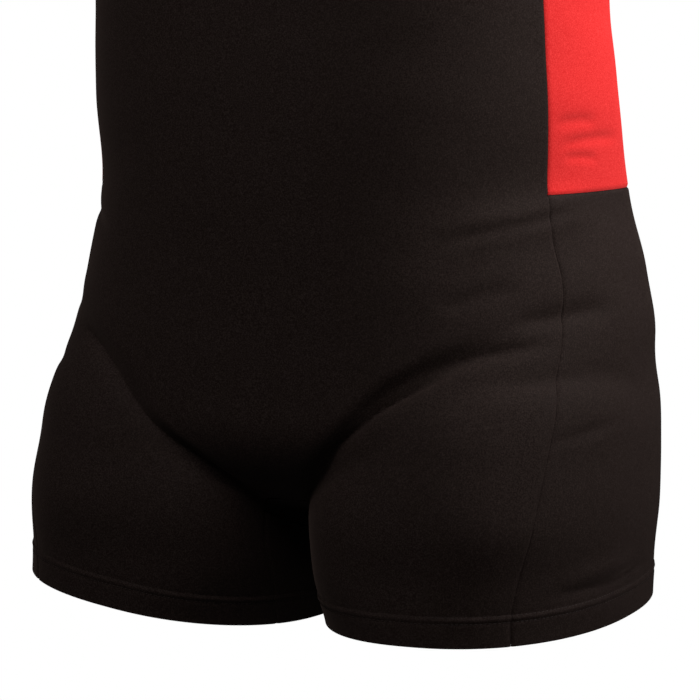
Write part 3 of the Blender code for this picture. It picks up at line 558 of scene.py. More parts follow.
@dataclass
class Relief:
    """How far the cloth stands off the form: folds, seam grooves, turned hems and edges."""

    form: WornForm
    cuts: dict[Side, Cut]
    groove_depth: float = 0.95 * MM
    groove_width: float = 1.1 * MM
    hem_height: float = 0.70 * MM
    upper_row: float = 20.6 * MM
    lower_row: float = 16.2 * MM
    row_sink: float = 0.30 * MM
    row_width: float = 0.9 * MM
    stitch: float = 3.1 * MM
    edge_rows: tuple[float, float] = (6.8 * MM, 2.6 * MM)
    edge_reach: float = 12 * MM
    hem_reach: float = 60 * MM
    leg_radius: float = 113 * MM

    SEAMS = ("side_front", "side_back", "inseam_whole", "colour", "gusset_front_end", "gusset_back_end",
             "gusset_front_side", "gusset_back_side", "shoulder")
    EDGES = ("front_neckline", "back_neckline", "front_armhole", "back_armhole", "underarm")

    def lift(self, points: np.ndarray, side: Side) -> np.ndarray:
        """The cloth's height over the form.

        Args:
            points: Points on the form, all on one half, given on the left one.
            side: The half that they stand for.

        Returns:
            One height for each point.
        """
        flat = points.reshape(-1, 3)
        worn = flat * side.mirror
        cut = self.cuts[side]
        height = np.zeros(len(flat))
        for fold in FOLDS:
            height += fold.lift(worn)
        height += self._drape(worn)
        for name in self.SEAMS:
            gap, _ = nearest(flat, cut.lines[name], 5 * self.groove_width)
            height -= self.groove_depth * np.exp(-((gap / self.groove_width) ** 2))
        height += self._hem(flat, cut)
        for name in self.EDGES:
            gap, place = nearest(flat, cut.lines[name], self.edge_reach)
            height += self._rows(gap, place, self.edge_rows)
        return height.reshape(points.shape[:-1])

    def wall(self, points: np.ndarray, cut: Cut, single: float, turned: float) -> np.ndarray:
        """The cloth's thickness: turned up at the hem, turned in at the free edges, single elsewhere.

        Args:
            points: Points on the form, given on the left half.
            cut: The half that they stand for.
            single: One thickness of cloth.
            turned: The thickness of the hem band.

        Returns:
            One thickness for each point.
        """
        flat = points.reshape(-1, 3)
        above = cut.hem.above(flat)
        share = np.clip((self.upper_row + 1.5 * MM - above) / (1.5 * MM), 0, 1) * (above < self.hem_reach)
        for name in self.EDGES:
            gap, _ = nearest(flat, cut.lines[name], self.edge_reach)
            turned_in = np.clip((self.edge_rows[0] + 2.0 * MM - gap) / (1.0 * MM), 0, 1)
            share = np.maximum(share, 0.7 * turned_in)
        return (single + (turned - single) * share).reshape(points.shape[:-1])

    def _rows(self, gap: np.ndarray, place: np.ndarray, rows: tuple[float, float]) -> np.ndarray:
        """The two stitched rows along an edge sink in, and the cloth between them stands up."""
        height = np.zeros(len(gap))
        for row in rows:
            tug = 1 + 0.25 * np.sin(place * math.tau / self.stitch) + 0.2 * np.sin(place * 370 + row * 900)
            height -= self.row_sink * tug * np.exp(-(((gap - row) / self.row_width) ** 2))
        middle, spread = 0.5 * (rows[0] + rows[1]), 0.32 * (rows[0] - rows[1])
        return height + 0.25 * MM * np.exp(-(((gap - middle) / spread) ** 2))

    def _hem(self, flat: np.ndarray, cut: Cut) -> np.ndarray:
        """The turned-up band at the leg's end, with its stitched rows and small puckers."""
        above = cut.hem.above(flat)
        low = above < self.hem_reach
        height = np.zeros(len(flat))
        some, near = flat[low], above[low]
        centre_x, centre_y = cut.form.section_at(LEG, some[:, 2])[:2]
        place = np.arctan2(some[:, 0] - centre_x, centre_y - some[:, 1]) * self.leg_radius
        step = np.clip((self.upper_row + 1.0 * MM - near) / (2.0 * MM), 0, 1)
        band = self.hem_height * step * step * (3 - 2 * step)
        pucker = (np.sin(place * math.tau / (12.5 * MM)) + 0.7 * np.sin(place * math.tau / (7.9 * MM) + 1.3)
                  + 0.8 * np.sin(place * math.tau / (31 * MM) + 0.4))
        middle = 0.5 * (self.upper_row + self.lower_row)
        pucker *= 0.10 * MM * np.exp(-(((near - middle) / (9 * MM)) ** 2))
        height[low] = band + pucker + self._rows(near, place, (self.upper_row, self.lower_row))
        return height

    @staticmethod
    def _drape(worn: np.ndarray) -> np.ndarray:
        """Very shallow unevenness of worn knit, longer across the body than down it."""
        x, y, z = worn[:, 0], worn[:, 1], worn[:, 2]
        wave = (np.sin(61 * z + 13 * x + 4) * np.sin(23 * x - 9 * y + 1.1)
                + 0.6 * np.sin(97 * z - 21 * x + 2 * y + 0.3) * np.sin(31 * y + 17 * x)
                + 0.5 * np.sin(143 * z + 37 * y + 0.7) * np.sin(41 * x + 0.2))
        return 0.22 * MM * wave


class Value:
    """One shader socket that may be used in sums."""

    def __init__(self, graph: Graph, socket: bpy.types.NodeSocket) -> None:
        """Keep the socket and the graph that new nodes go in."""
        self.graph = graph
        self.socket = socket

    def _with(self, operation: str, first: Any, second: Any) -> Value:
        """A Math node on two values or numbers."""
        return self.graph.node("ShaderNodeMath", {"operation": operation}, {0: first, 1: second}).out()

    def __add__(self, other: Value | float) -> Value:
        """Sum."""
        return self._with("ADD", self, other)

    def __sub__(self, other: Value | float) -> Value:
        """Difference."""
        return self._with("SUBTRACT", self, other)

    def __rsub__(self, other: float) -> Value:
        """Difference from a number."""
        return self._with("SUBTRACT", other, self)

    def __mul__(self, other: Value | float) -> Value:
        """Product."""
        return self._with("MULTIPLY", self, other)

    __radd__ = __add__
    __rmul__ = __mul__

    def ramp(self, low: float, high: float) -> Value:
        """0 below low, 1 above high and straight between."""
        settings = {"clamp": True}
        inputs = {"Value": self, "From Min": low, "From Max": high}
        return self.graph.node("ShaderNodeMapRange", settings, inputs).out()


class NodeHandle:
    """A shader node whose outputs are taken by name or place."""

    def __init__(self, graph: Graph, node: bpy.types.Node) -> None:
        """Keep the node."""
        self.graph = graph
        self.raw = node

    def out(self, key: int | str = 0) -> Value:
        """One of the node's outputs."""
        return Value(self.graph, self.raw.outputs[key])


class Graph:
    """The node tree of one material, or of the world."""

    def __init__(self, owner: bpy.types.Material | bpy.types.World) -> None:
        """Take the owner's tree."""
        owner.use_nodes = True
        self.tree = owner.node_tree

    @property
    def shader(self) -> bpy.types.Node:
        """The shader that a material starts with."""
        return self.tree.nodes["Principled BSDF"]

    def node(self, kind: str, settings: dict[str, Any] | None = None,
             inputs: dict[int | str, Any] | None = None) -> NodeHandle:
        """Add a node.

        Args:
            kind: The node's type.
            settings: Its own settings, set first.
            inputs: Values, or links from other sockets, by input name or place.

        Returns:
            The node.
        """
        made = self.tree.nodes.new(kind)
        for name, value in (settings or {}).items():
            setattr(made, name, value)
        for key, value in (inputs or {}).items():
            self.feed(made.inputs[key], value)
        return NodeHandle(self, made)

    def feed(self, socket: bpy.types.NodeSocket, value: Any) -> None:
        """Link a value to a socket, or set a number or colour on it."""
        if isinstance(value, Value):
            self.tree.links.new(value.socket, socket)
        else:
            socket.default_value = value

    def mix(self, first: Any, second: Any, share: Any) -> Value:
        """A colour between two others."""
        made = self.node("ShaderNodeMix", {"data_type": "RGBA"})
        for place, value in ((0, share), (6, first), (7, second)):
            self.feed(made.raw.inputs[place], value)
        return Value(self, made.raw.outputs[2])

    def noise(self, place: Value, scale: float, detail: float = 2.0) -> Value:
        """Soft noise from 0 to 1."""
        inputs = {"Vector": place, "Scale": scale, "Detail": detail, "Roughness": 0.55}
        return self.node("ShaderNodeTexNoise", {}, inputs).out()


@dataclass(frozen=True)
class Knit:
    """Matte stretch knit: fine wales, a short nap, and a little unevenness of dye."""

    name: str
    colour: Colour
    fleck: Colour
    roughness: float = 0.78
    sheen: float = 0.03
    sheen_tint: Colour = (1.0, 0.70, 0.60, 1.0)
    sheen_roughness: float = 0.42
    specular: float = 0.04
    wale: float = 0.62 * MM
    grain: float = 0.9 * MM
    nap: float = 3.5 * MM
    cloud: float = 0.16
    bump: float = 0.35
    bump_depth: float = 0.12 * MM

    def material(self) -> bpy.types.Material:
        """The finish as a material."""
        made = bpy.data.materials.new(self.name)
        graph = Graph(made)
        shader = graph.shader
        coordinates = graph.node("ShaderNodeTexCoord")
        place = coordinates.out("Object")
        fine = graph.noise(place, 1 / self.grain, 3.0)
        nap = graph.noise(place, 1 / self.nap)
        cloud = graph.noise(place, 1 / self.cloud)
        flecks = fine.ramp(0.42, 0.72) * 0.95 + nap.ramp(0.35, 0.75) * 0.10 + cloud.ramp(0.3, 0.7) * 0.08
        graph.feed(shader.inputs["Base Color"], graph.mix(self.colour, self.fleck, flecks))
        graph.feed(shader.inputs["Roughness"], fine * 0.12 + (self.roughness - 0.06))
        settings = {"wave_type": "BANDS", "bands_direction": "X", "wave_profile": "SIN"}
        inputs = {"Vector": coordinates.out("UV"), "Scale": 1 / (self.wale * math.pi),
                  "Distortion": 0.6, "Detail": 1.0}
        wales = graph.node("ShaderNodeTexWave", settings, inputs).out(1)
        height = wales * 0.35 + fine * 0.9 + nap * 0.25
        inputs = {"Strength": self.bump, "Distance": self.bump_depth, "Height": height}
        graph.feed(shader.inputs["Normal"], graph.node("ShaderNodeBump", {}, inputs).out())
        shader.inputs["Sheen Weight"].default_value = self.sheen
        shader.inputs["Sheen Roughness"].default_value = self.sheen_roughness
        shader.inputs["Sheen Tint"].default_value = self.sheen_tint
        shader.inputs["Specular IOR Level"].default_value = self.specular
        made.diffuse_color = self.colour
        return made


@dataclass(frozen=True)
class Thread:
    """Spun polyester thread with a fine twist."""

    name: str
    colour: Colour
    roughness: float = 0.55
    specular: float = 0.12
    twist: float = 0.5 * MM

    def material(self) -> bpy.types.Material:
        """The finish as a material."""
        made = bpy.data.materials.new(self.name)
        graph = Graph(made)
        place = graph.node("ShaderNodeTexCoord").out("Object")
        twist = graph.noise(place, 1 / self.twist)
        lighter = tuple(min(1.0, 1.8 * part) for part in self.colour[:3]) + (1.0,)
        graph.feed(graph.shader.inputs["Base Color"], graph.mix(self.colour, lighter, twist))
        graph.feed(graph.shader.inputs["Roughness"], twist * 0.2 + (self.roughness - 0.1))
        graph.shader.inputs["Specular IOR Level"].default_value = self.specular
        made.diffuse_color = self.colour
        return made


@dataclass(frozen=True)
class StudioPaint:
    """Pale matte floor."""

    name: str = "pale_floor"
    colour: Colour = (0.86, 0.86, 0.86, 1.0)
    roughness: float = 0.9

    def material(self) -> bpy.types.Material:
        """The finish as a material."""
        made = bpy.data.materials.new(self.name)
        graph = Graph(made)
        graph.shader.inputs["Base Color"].default_value = self.colour
        graph.shader.inputs["Roughness"].default_value = self.roughness
        return made


BLACK_KNIT = Knit("black_knit", (0.0066, 0.0036, 0.0030, 1.0), (0.0215, 0.0148, 0.0130, 1.0))
RED_KNIT = Knit("red_knit", (0.44, 0.0125, 0.0120, 1.0), (0.60, 0.032, 0.030, 1.0), sheen=0.05,
                sheen_tint=(1.0, 0.75, 0.75, 1.0))
BLACK_THREAD = Thread("black_thread", (0.0105, 0.0065, 0.0056, 1.0))


@dataclass
class Run:
    """Lines end to end, read by steps: each line counts a whole number of steps."""

    form: WornForm
    parts: Sequence[tuple[np.ndarray, int]]

    @property
    def steps(self) -> int:
        """All the steps together."""
        return sum(count for _, count in self.parts)

    def at(self, places: np.ndarray) -> np.ndarray:
        """The points at the given steps, which may lie between whole ones."""
        found = np.zeros((len(places), 3))
        first = 0
        for line, count in self.parts:
            here = (places >= first - 1e-9) & (places <= first + count + 1e-9)
            if here.any():
                found[here] = self.form.settle(along_line(line, (places[here] - first) / count))
            first += count
        return found


def new_piece(name: str, mesh: bmesh.types.BMesh, material: bpy.types.Material) -> bpy.types.Object:
    """Put a mesh in the scene as a smooth object, and give the mesh up."""
    data = bpy.data.meshes.new(name)
    mesh.to_mesh(data)
    mesh.free()
    data.shade_smooth()
    data.materials.append(material)
    piece = bpy.data.objects.new(name, data)
    bpy.context.scene.collection.objects.link(piece)
    return piece


def steps_between(marks: Sequence[int], per_step: float, tight: Sequence[int],
                  close: Sequence[float]) -> np.ndarray:
    """Places from the first mark to the last, with every mark in and extra ones near tight marks.

    Args:
        marks: Whole steps that must be among the places.
        per_step: Places for each whole step.
        tight: Marks that get extra places beside them.
        close: How far beside, in steps.

    Returns:
        The places in order.
    """
    places = set(np.round(np.linspace(marks[0], marks[-1], int((marks[-1] - marks[0]) * per_step) + 1), 4))
    places |= {float(mark) for mark in marks}
    reach = max(close)
    for mark in tight:
        places = {place for place in places if abs(place - mark) > reach or place == mark}
        for shift in close:
            places |= {round(mark + sign * shift, 4) for sign in (1, -1)
                       if marks[0] <= mark + sign * shift <= marks[-1]}
    return np.array(sorted(places))


@dataclass
class Sheet:
    """One piece of cloth as a grid between an inner, an outer, a top and a bottom line.

    Inner and outer name lines of the cut from the top down, each with its whole steps.  Marks are the
    steps that a row must lie on, and rows crowd at the tight ones.  A leg's hem closes the piece from
    the first of the hem seams to the second, unless a bottom line does.  Slits are the stretches of
    steps where the two halves of a piece aren't joined in the middle, with OPEN_END for the hem.
    """

    name: str
    nodes: tuple[str, ...]
    slot: str
    finish: Knit
    form: WornForm
    relief: Relief
    flat: tuple[float, float]
    area: float
    inner: Parts = ()
    outer: Parts = ()
    top: str = "shoulder"
    bottom: str = ""
    hem_seams: tuple[str, ...] = ()
    marks: tuple[int, ...] = ()
    tight: tuple[int, ...] = (0,)
    row_closeness: tuple[float, ...] = (0.05, 0.12, 0.22, 0.36, 0.55)
    column_closeness: tuple[float, ...] = (0.05, 0.12, 0.22, 0.36, 0.55)
    fineness: float = 7.0
    columns: int = 14
    slits: tuple[tuple[int, int], ...] = ()
    even_rows: tuple[float, float] = (-1.0, 0.0)
    push_way: tuple[float, float, float] = (0, -1, 0)
    turn: int = 1
    sink: float = 0.0
    easing: int = 80
    wall: float = 1.3 * MM
    turned: float = 2.6 * MM
    edge_round: float = 0.25 * MM

    def runs(self, cut: Cut) -> tuple[Run, Run, np.ndarray, np.ndarray | None]:
        """The inner and outer runs, the top line, and the bottom line unless a hem closes the piece."""
        inner, outer = (Run(self.form, [(cut.lines[name], steps) for name, steps in parts])
                        for parts in (self.inner, self.outer))
        return inner, outer, cut.lines[self.top], cut.lines[self.bottom] if self.bottom else None

    def row_places(self) -> np.ndarray:
        """Where the fine rows lie, in whole steps of the runs."""
        return steps_between(self.marks, self.fineness, self.tight, self.row_closeness)

    def column_places(self) -> np.ndarray:
        """Where the fine columns lie, in whole columns."""
        ends = (0, self.columns)
        return steps_between(ends, self.fineness, ends, self.column_closeness)

    def spaced(self, grid: np.ndarray, inner: np.ndarray) -> np.ndarray:
        """Points that the easing brought to a wrong place put right: none, unless a piece says so."""
        return grid

    def eased(self, inner: np.ndarray, outer: np.ndarray, top: np.ndarray, bottom: np.ndarray) -> np.ndarray:
        """A coarse grid on the form inside four lines, its points eased apart."""
        v = np.linspace(0, 1, len(inner))[:, None, None]
        u = np.linspace(0, 1, len(top))[None, :, None]
        corners = ((1 - u) * (1 - v) * top[0] + u * (1 - v) * top[-1]
                   + (1 - u) * v * bottom[0] + u * v * bottom[-1])
        grid = ((1 - u) * inner[:, None] + u * outer[:, None]
                + (1 - v) * top[None] + v * bottom[None] - corners)
        start = grid[1:-1, 1:-1] - self.sink * np.array(self.push_way)
        grid[1:-1, 1:-1] = self.form.push(start, self.push_way)
        for _ in range(self.easing):
            middle = 0.25 * (grid[:-2, 1:-1] + grid[2:, 1:-1] + grid[1:-1, :-2] + grid[1:-1, 2:])
            grid[1:-1, 1:-1] += 0.8 * (middle - grid[1:-1, 1:-1])
            grid[1:-1, 1:-1] = self.form.settle(self.spaced(grid, inner)[1:-1, 1:-1], 1)
        return grid

    @staticmethod
    def between(grid: np.ndarray, rows: np.ndarray, columns: np.ndarray) -> np.ndarray:
        """A coarse grid read at fine places, straight between its points."""
        i = np.clip(np.floor(rows).astype(int), 0, grid.shape[0] - 2)
        j = np.clip(np.floor(columns).astype(int), 0, grid.shape[1] - 2)
        a, b = (rows - i)[:, None, None], (columns - j)[None, :, None]
        low = grid[i][:, j] * (1 - b) + grid[i][:, j + 1] * b
        high = grid[i + 1][:, j] * (1 - b) + grid[i + 1][:, j + 1] * b
        return low * (1 - a) + high * a

    def evened(self, grid: np.ndarray, rows: np.ndarray, shares: np.ndarray) -> np.ndarray:
        """A fine grid whose strap rows have their points at even shares, so that none crosses an edge."""
        first, last = self.even_rows
        margin = 0.2
        kept = (shares == 0) | ((shares > margin) & (shares < 1 - margin)) | (shares == 1)
        out = grid.copy()
        for i, place in enumerate(rows):
            weight = min(1.0, max(0.0, (last - place) / (last - first)))
            if weight > 0:
                out[i] += weight * (along_line(grid[i][kept], shares) - grid[i])
        return out

    def grid(self, cut: Cut) -> np.ndarray:
        """The fine grid of one half on the form, its hem band included."""
        inner_run, outer_run, top_line, bottom_line = self.runs(cut)
        whole = np.arange(inner_run.steps + 1, dtype=float)
        rows, columns = self.row_places(), self.column_places()
        shares, coarse_shares = columns / self.columns, np.arange(self.columns + 1) / self.columns
        inner, outer = inner_run.at(whole), outer_run.at(whole)
        fine_inner, fine_outer = inner_run.at(rows), outer_run.at(rows)
        top = self.form.settle(along_line(top_line, coarse_shares))
        fine_top = self.form.settle(along_line(top_line, shares))
        if self.hem_seams:
            bottom = cut.ring(cut.band_top, inner[-1], outer[-1], coarse_shares, self.turn)
            fine_bottom = cut.ring(cut.band_top, inner[-1], outer[-1], shares, self.turn)
        else:
            bottom = self.form.settle(along_line(bottom_line, coarse_shares))
            fine_bottom = self.form.settle(along_line(bottom_line, shares))
        top[0], top[-1], bottom[0], bottom[-1] = inner[0], outer[0], inner[-1], outer[-1]
        rough = self.between(self.eased(inner, outer, top, bottom), rows, columns)
        off_inner, off_outer = (fine_inner - rough[:, 0])[:, None], (fine_outer - rough[:, -1])[:, None]
        off_top, off_bottom = (fine_top - rough[0])[None], (fine_bottom - rough[-1])[None]
        u, v = shares[None, :, None], (rows / rows[-1])[:, None, None]
        rough += (1 - u) * off_inner + u * off_outer + (1 - v) * off_top + v * off_bottom
        fine = self.form.settle(self.evened(rough, rows, shares), 4)
        fine[:, 0], fine[:, -1] = fine_inner, fine_outer
        if not self.hem_seams:
            return fine
        rings = []
        for above in HEM_BAND:
            first, last = (cut.crossing(seam, above) for seam in self.hem_seams)
            rings.append(cut.ring(above, first, last, shares, self.turn))
        return np.vstack([fine, np.stack(rings)])

    def build(self, cuts: Sequence[Cut]) -> bpy.types.Object:
        """Make the piece from one half, or from both joined at the middle line.

        Args:
            cuts: The halves it spans, left first.

        Returns:
            The finished object.
        """
        halves, walls = [], []
        for cut in cuts:
            grid = self.grid(cut)
            away = self.form.normals(grid)
            lift = self.relief.lift(grid, cut.side)
            halves.append((grid + away * lift[..., None]) * cut.side.mirror)
            walls.append(self.relief.wall(grid, cut, self.wall, self.turned) / self.turned)
        rows, columns = halves[0].shape[0] - 1, halves[0].shape[1] - 1
        total = columns * len(halves)
        mesh = bmesh.new()
        bmesh.ops.create_grid(mesh, x_segments=total, y_segments=rows, size=0.5)
        row_of = mesh.verts.layers.int.new("row")
        column_of = mesh.verts.layers.int.new("column")
        for vert in mesh.verts:
            vert[row_of] = round((0.5 - vert.co.y) * rows)
            vert[column_of] = round((0.5 + vert.co.x) * total)
        if len(halves) == 2:
            self.cut_open(mesh, row_of, column_of, columns)
        self.place(mesh, halves, walls, row_of, column_of, columns)
        bmesh.ops.recalc_face_normals(mesh, faces=mesh.faces[:])
        self.face_outwards(mesh)
        return self.finished(mesh, rows, total)

    def cut_open(self, mesh: bmesh.types.BMesh, row_of: Any, column_of: Any, middle: int) -> None:
        """Open the grid's middle column over each slit."""
        places = self.row_places()
        hem = len(places) + len(HEM_BAND)
        spans = []
        for first, end in self.slits:
            start = int(np.argmin(np.abs(places - first)))
            stop = hem if end == OPEN_END else int(np.argmin(np.abs(places - end)))
            spans.append((start, stop))
        cuts = []
        for edge in mesh.edges:
            a, b = edge.verts
            if a[column_of] == b[column_of] == middle:
                low, high = sorted((a[row_of], b[row_of]))
                if any(start <= low and high <= stop for start, stop in spans):
                    cuts.append(edge)
        bmesh.ops.split_edges(mesh, edges=cuts)

    def place(self, mesh: bmesh.types.BMesh, halves: Sequence[np.ndarray], walls: Sequence[np.ndarray],
              row_of: Any, column_of: Any, columns: int) -> None:
        """Put every point of the grid in its place, with its wall and its place on the flat cloth."""
        flats = [self.flat_places(half) for half in halves]
        weave = mesh.loops.layers.uv.new("cloth")
        group = mesh.verts.layers.deform.verify()
        sides = {}
        for vert in mesh.verts:
            if len(halves) == 2:
                middle = sum(face.calc_center_median().x for face in vert.link_faces)
                half = 0 if middle > -1e-6 else 1
                column = abs(vert[column_of] - columns)
            else:
                half, column = 0, vert[column_of]
            sides[vert.index] = (half, vert[row_of], column)
        for face in mesh.faces:
            for loop in face.loops:
                half, row, column = sides[loop.vert.index]
                across, down = flats[half][row, column]
                loop[weave].uv = (across if half == 0 else -across, down)
        for vert in mesh.verts:
            half, row, column = sides[vert.index]
            vert.co = halves[half][row, column]
            vert[group][0] = walls[half][row, column]

    @staticmethod
    def flat_places(half: np.ndarray) -> np.ndarray:
        """How far across and down the flat cloth each point of a grid lies, in metres."""
        across = np.zeros(half.shape[:2])
        across[:, 1:] = np.cumsum(np.linalg.norm(np.diff(half, axis=1), axis=2), axis=1)
        down = np.zeros(half.shape[:2])
        down[1:] = np.cumsum(np.linalg.norm(np.diff(half, axis=0), axis=2), axis=0)
        down[:] = down[:, [half.shape[1] // 2]]
        return np.stack([across, -down], axis=2)

    def face_outwards(self, mesh: bmesh.types.BMesh) -> None:
        """Turn the sheet so that its faces point out of the form."""
        face = max(mesh.faces, key=lambda item: item.calc_area())
        centre = np.array(face.calc_center_median())
        away = self.form.normals(centre[None])[0]
        if np.dot(away, np.array(face.normal)) < 0:
            bmesh.ops.reverse_faces(mesh, faces=mesh.faces[:])

    def finished(self, mesh: bmesh.types.BMesh, rows: int, columns: int) -> bpy.types.Object:
        piece = new_piece(self.name, mesh, self.finish.material())
        group = piece.vertex_groups.new(name="wall")
        solid = piece.modifiers.new("wall", "SOLIDIFY")
        solid.thickness = self.turned
        solid.vertex_group = group.name
        solid.offset = -1.0
        solid.use_rim = True
        bevel = piece.modifiers.new("edges", "BEVEL")
        bevel.width = self.edge_round
        bevel.segments = 2
        bevel.limit_method = "ANGLE"
        bevel.angle_limit = math.radians(60)
        bevel.harden_normals = True
        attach(piece, "root")
        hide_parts(*self.nodes)
        log.info("%s: %d by %d faces", self.name, rows, columns)
        return piece


@dataclass
class FrontPanel(Sheet):
    """The front: chest, belly and the fronts of both legs in one piece."""

    inner: Parts = (("front_neckline", 12), ("centre_front", 26), ("gusset_front_end", 2),
                    ("gusset_front_side", 2), ("inseam", 6))
    outer: Parts = (("front_armhole", 16), ("side_front_upper", 12), ("side_front_lower", 20))
    hem_seams: tuple[str, ...] = ("inseam_whole", "side_front")
    marks: tuple[int, ...] = (0, 12, 16, 28, 38, 40, 42, 48)
    row_closeness: tuple[float, ...] = (0.1, 0.25, 0.45)
    slits: tuple[tuple[int, int], ...] = ((0, 12), (38, OPEN_END))
    even_rows: tuple[float, float] = (12.0, 16.0)


@dataclass
class BackPanel(Sheet):
    """The back: shoulders, seat and the backs of both legs in one piece."""

    inner: Parts = (("back_neckline", 9), ("centre_back", 24), ("gusset_back_end", 2),
                    ("gusset_back_side", 7), ("inseam", 6))
    outer: Parts = (("back_armhole", 16), ("side_back_upper", 12), ("side_back_lower", 20))
    hem_seams: tuple[str, ...] = ("inseam_whole", "side_back")
    marks: tuple[int, ...] = (0, 9, 16, 28, 33, 35, 42, 48)
    row_closeness: tuple[float, ...] = (0.1, 0.25, 0.45)
    columns: int = 16
    slits: tuple[tuple[int, int], ...] = ((0, 9), (33, OPEN_END))
    even_rows: tuple[float, float] = (12.0, 16.0)
    push_way: tuple[float, float, float] = (0, 1, 0)
    turn: int = -1
    gusset_rows: tuple[int, int] = (35, 42)
    gusset_reach: float = 0.030
    clearance: float = 0.0016

    def spaced(self, grid: np.ndarray, inner: np.ndarray) -> np.ndarray:
        """Rows that start further forward pass under the gusset's sagging side seam."""
        first, last = self.gusset_rows
        seam = inner[first:last + 1]
        order = np.argsort(seam[:, 1])
        y = grid[..., 1]
        row = np.interp(y, seam[order, 1], first + order)
        height = np.interp(y, seam[order, 1], seam[order, 2])
        passed = np.arange(len(grid))[:, None] - row
        near = (grid[..., 0] < self.gusset_reach) & (y > seam[order[0], 1])
        near &= (y < seam[order[-1], 1]) & (passed > 0)
        out = grid.copy()
        lowered = np.minimum(grid[..., 2], height - self.clearance * passed)
        out[..., 2] = np.where(near, lowered, grid[..., 2])
        return out


@dataclass
class UpperSide(Sheet):
    """The coloured side piece from the underarm to the seam at the hip."""

    inner: Parts = (("side_front_upper", 12),)
    outer: Parts = (("side_back_upper", 12),)
    top: str = "underarm"
    bottom: str = "colour"
    marks: tuple[int, ...] = (0, 12)
    tight: tuple[int, ...] = (0, 12)
    columns: int = 7
    push_way: tuple[float, float, float] = (1, 0, 0)


@dataclass
class LowerSide(Sheet):
    """The black side piece from the seam at the hip to the hem."""

    inner: Parts = (("side_front_lower", 20),)
    outer: Parts = (("side_back_lower", 20),)
    top: str = "colour"
    hem_seams: tuple[str, ...] = ("side_front", "side_back")
    marks: tuple[int, ...] = (0, 20)
    columns: int = 7
    push_way: tuple[float, float, float] = (1, 0, 0)


@dataclass
class Gusset(Sheet):
    """The small piece let in between the legs."""

    marks: tuple[int, ...] = (0, 2, 9)
    tight: tuple[int, ...] = (0, 9)
    row_closeness: tuple[float, ...] = (0.06, 0.15)
    column_closeness: tuple[float, ...] = (0.06, 0.15)
    fineness: float = 5.0
    columns: int = 4
    push_way: tuple[float, float, float] = (0, 0, -1)
    sink: float = 0.030

    def runs(self, cut: Cut) -> tuple[Run, Run, np.ndarray, np.ndarray]:
        """Both long sides, each two lines of the cut, and the two short ends."""
        line, other = cut.lines, Side.RIGHT.mirror
        sides = (line["gusset_front_side"], line["gusset_back_side"][::-1])
        inner, outer = (Run(self.form, [(part * way, steps) for part, steps in zip(sides, (2, 7))])
                        for way in (other, 1.0))
        ends = [np.vstack([(line[name] * other)[::-1], line[name][1:]])
                for name in ("gusset_front_end", "gusset_back_end")]
        return inner, outer, ends[0], ends[1]


@dataclass
class TwinStitch:
    """Two rows of coverstitch along an edge: short dashes of thread, sunk a little in the cloth."""

    name: str
    finish: Thread
    form: WornForm
    relief: Relief
    dash: float = 2.35 * MM
    width: float = 0.46 * MM
    height: float = 0.368 * MM
    stand: float = 0.10 * MM

    def dashes(self, mesh: bmesh.types.BMesh, path: np.ndarray, side: Side) -> None:
        """Lay dashes along a path on the form's left half.

        Args:
            mesh: Where they go.
            path: Points of the path.
            side: The half that it stands for.
        """
        length = lengths(path)[-1]
        count = max(2, int(length / self.relief.stitch))
        shares = (np.arange(count) + 0.5) / count
        middles = self.form.settle(along_line(path, shares))
        ahead = along_line(path, np.clip(shares + 0.5 / count, 0, 1))
        behind = along_line(path, np.clip(shares - 0.5 / count, 0, 1))
        away = self.form.normals(middles)
        lift = self.relief.lift(middles, side)
        tops = (middles + away * (lift + self.stand)[:, None]) * side.mirror
        away, ways = away * side.mirror, (ahead - behind) * side.mirror
        for top, out, way in zip(tops, away, ways):
            x_axis = Vector(way).normalized()
            y_axis = Vector(out).cross(x_axis).normalized()
            z_axis = x_axis.cross(y_axis)
            turn = Matrix((x_axis, y_axis, z_axis)).transposed().to_4x4()
            size = Matrix.Diagonal((self.dash, self.width, self.height, 1.0))
            bmesh.ops.create_uvsphere(mesh, u_segments=6, v_segments=4, radius=0.5,
                                      matrix=Matrix.Translation(Vector(top)) @ turn @ size)

    def finished(self, mesh: bmesh.types.BMesh) -> bpy.types.Object:
        """Turn the dashes into one piece."""
        piece = new_piece(self.name, mesh, self.finish.material())
        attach(piece, "root")
        log.info("%s: %d faces", self.name, len(piece.data.polygons))
        return piece

    def hem(self, cut: Cut) -> bpy.types.Object:
        """Both rows round one leg's hem."""
        mesh = bmesh.new()
        shares = np.linspace(0, 1, 361)
        for above in (self.relief.upper_row, self.relief.lower_row):
            start = cut.crossing("inseam_whole", above)
            self.dashes(mesh, cut.ring(above, start, start, shares, 1), cut.side)
        return self.finished(mesh)

    def edge(self, cut: Cut, names: Sequence[str], aim: tuple[float, float, float]) -> bpy.types.Object:
        """Both rows along neck or armhole lines, drawn in from the edge.

        Args:
            cut: The half they run on.
            names: The lines.
            aim: A point that the cloth lies towards, seen from the edge.  Its y is not used.

        Returns:
            The piece.
        """
        mesh = bmesh.new()
        for row in self.relief.edge_rows:
            for name in names:
                line = cut.lines[name]
                way = np.cross(self.form.normals(line), np.gradient(line, axis=0))
                way /= np.linalg.norm(way, axis=1, keepdims=True)
                inward = (np.array(aim) - line) * (1.0, 0.0, 1.0)
                facing = np.sign(np.sum(way * inward))
                self.dashes(mesh, self.form.settle(line + way * facing * row), cut.side)
        return self.finished(mesh)


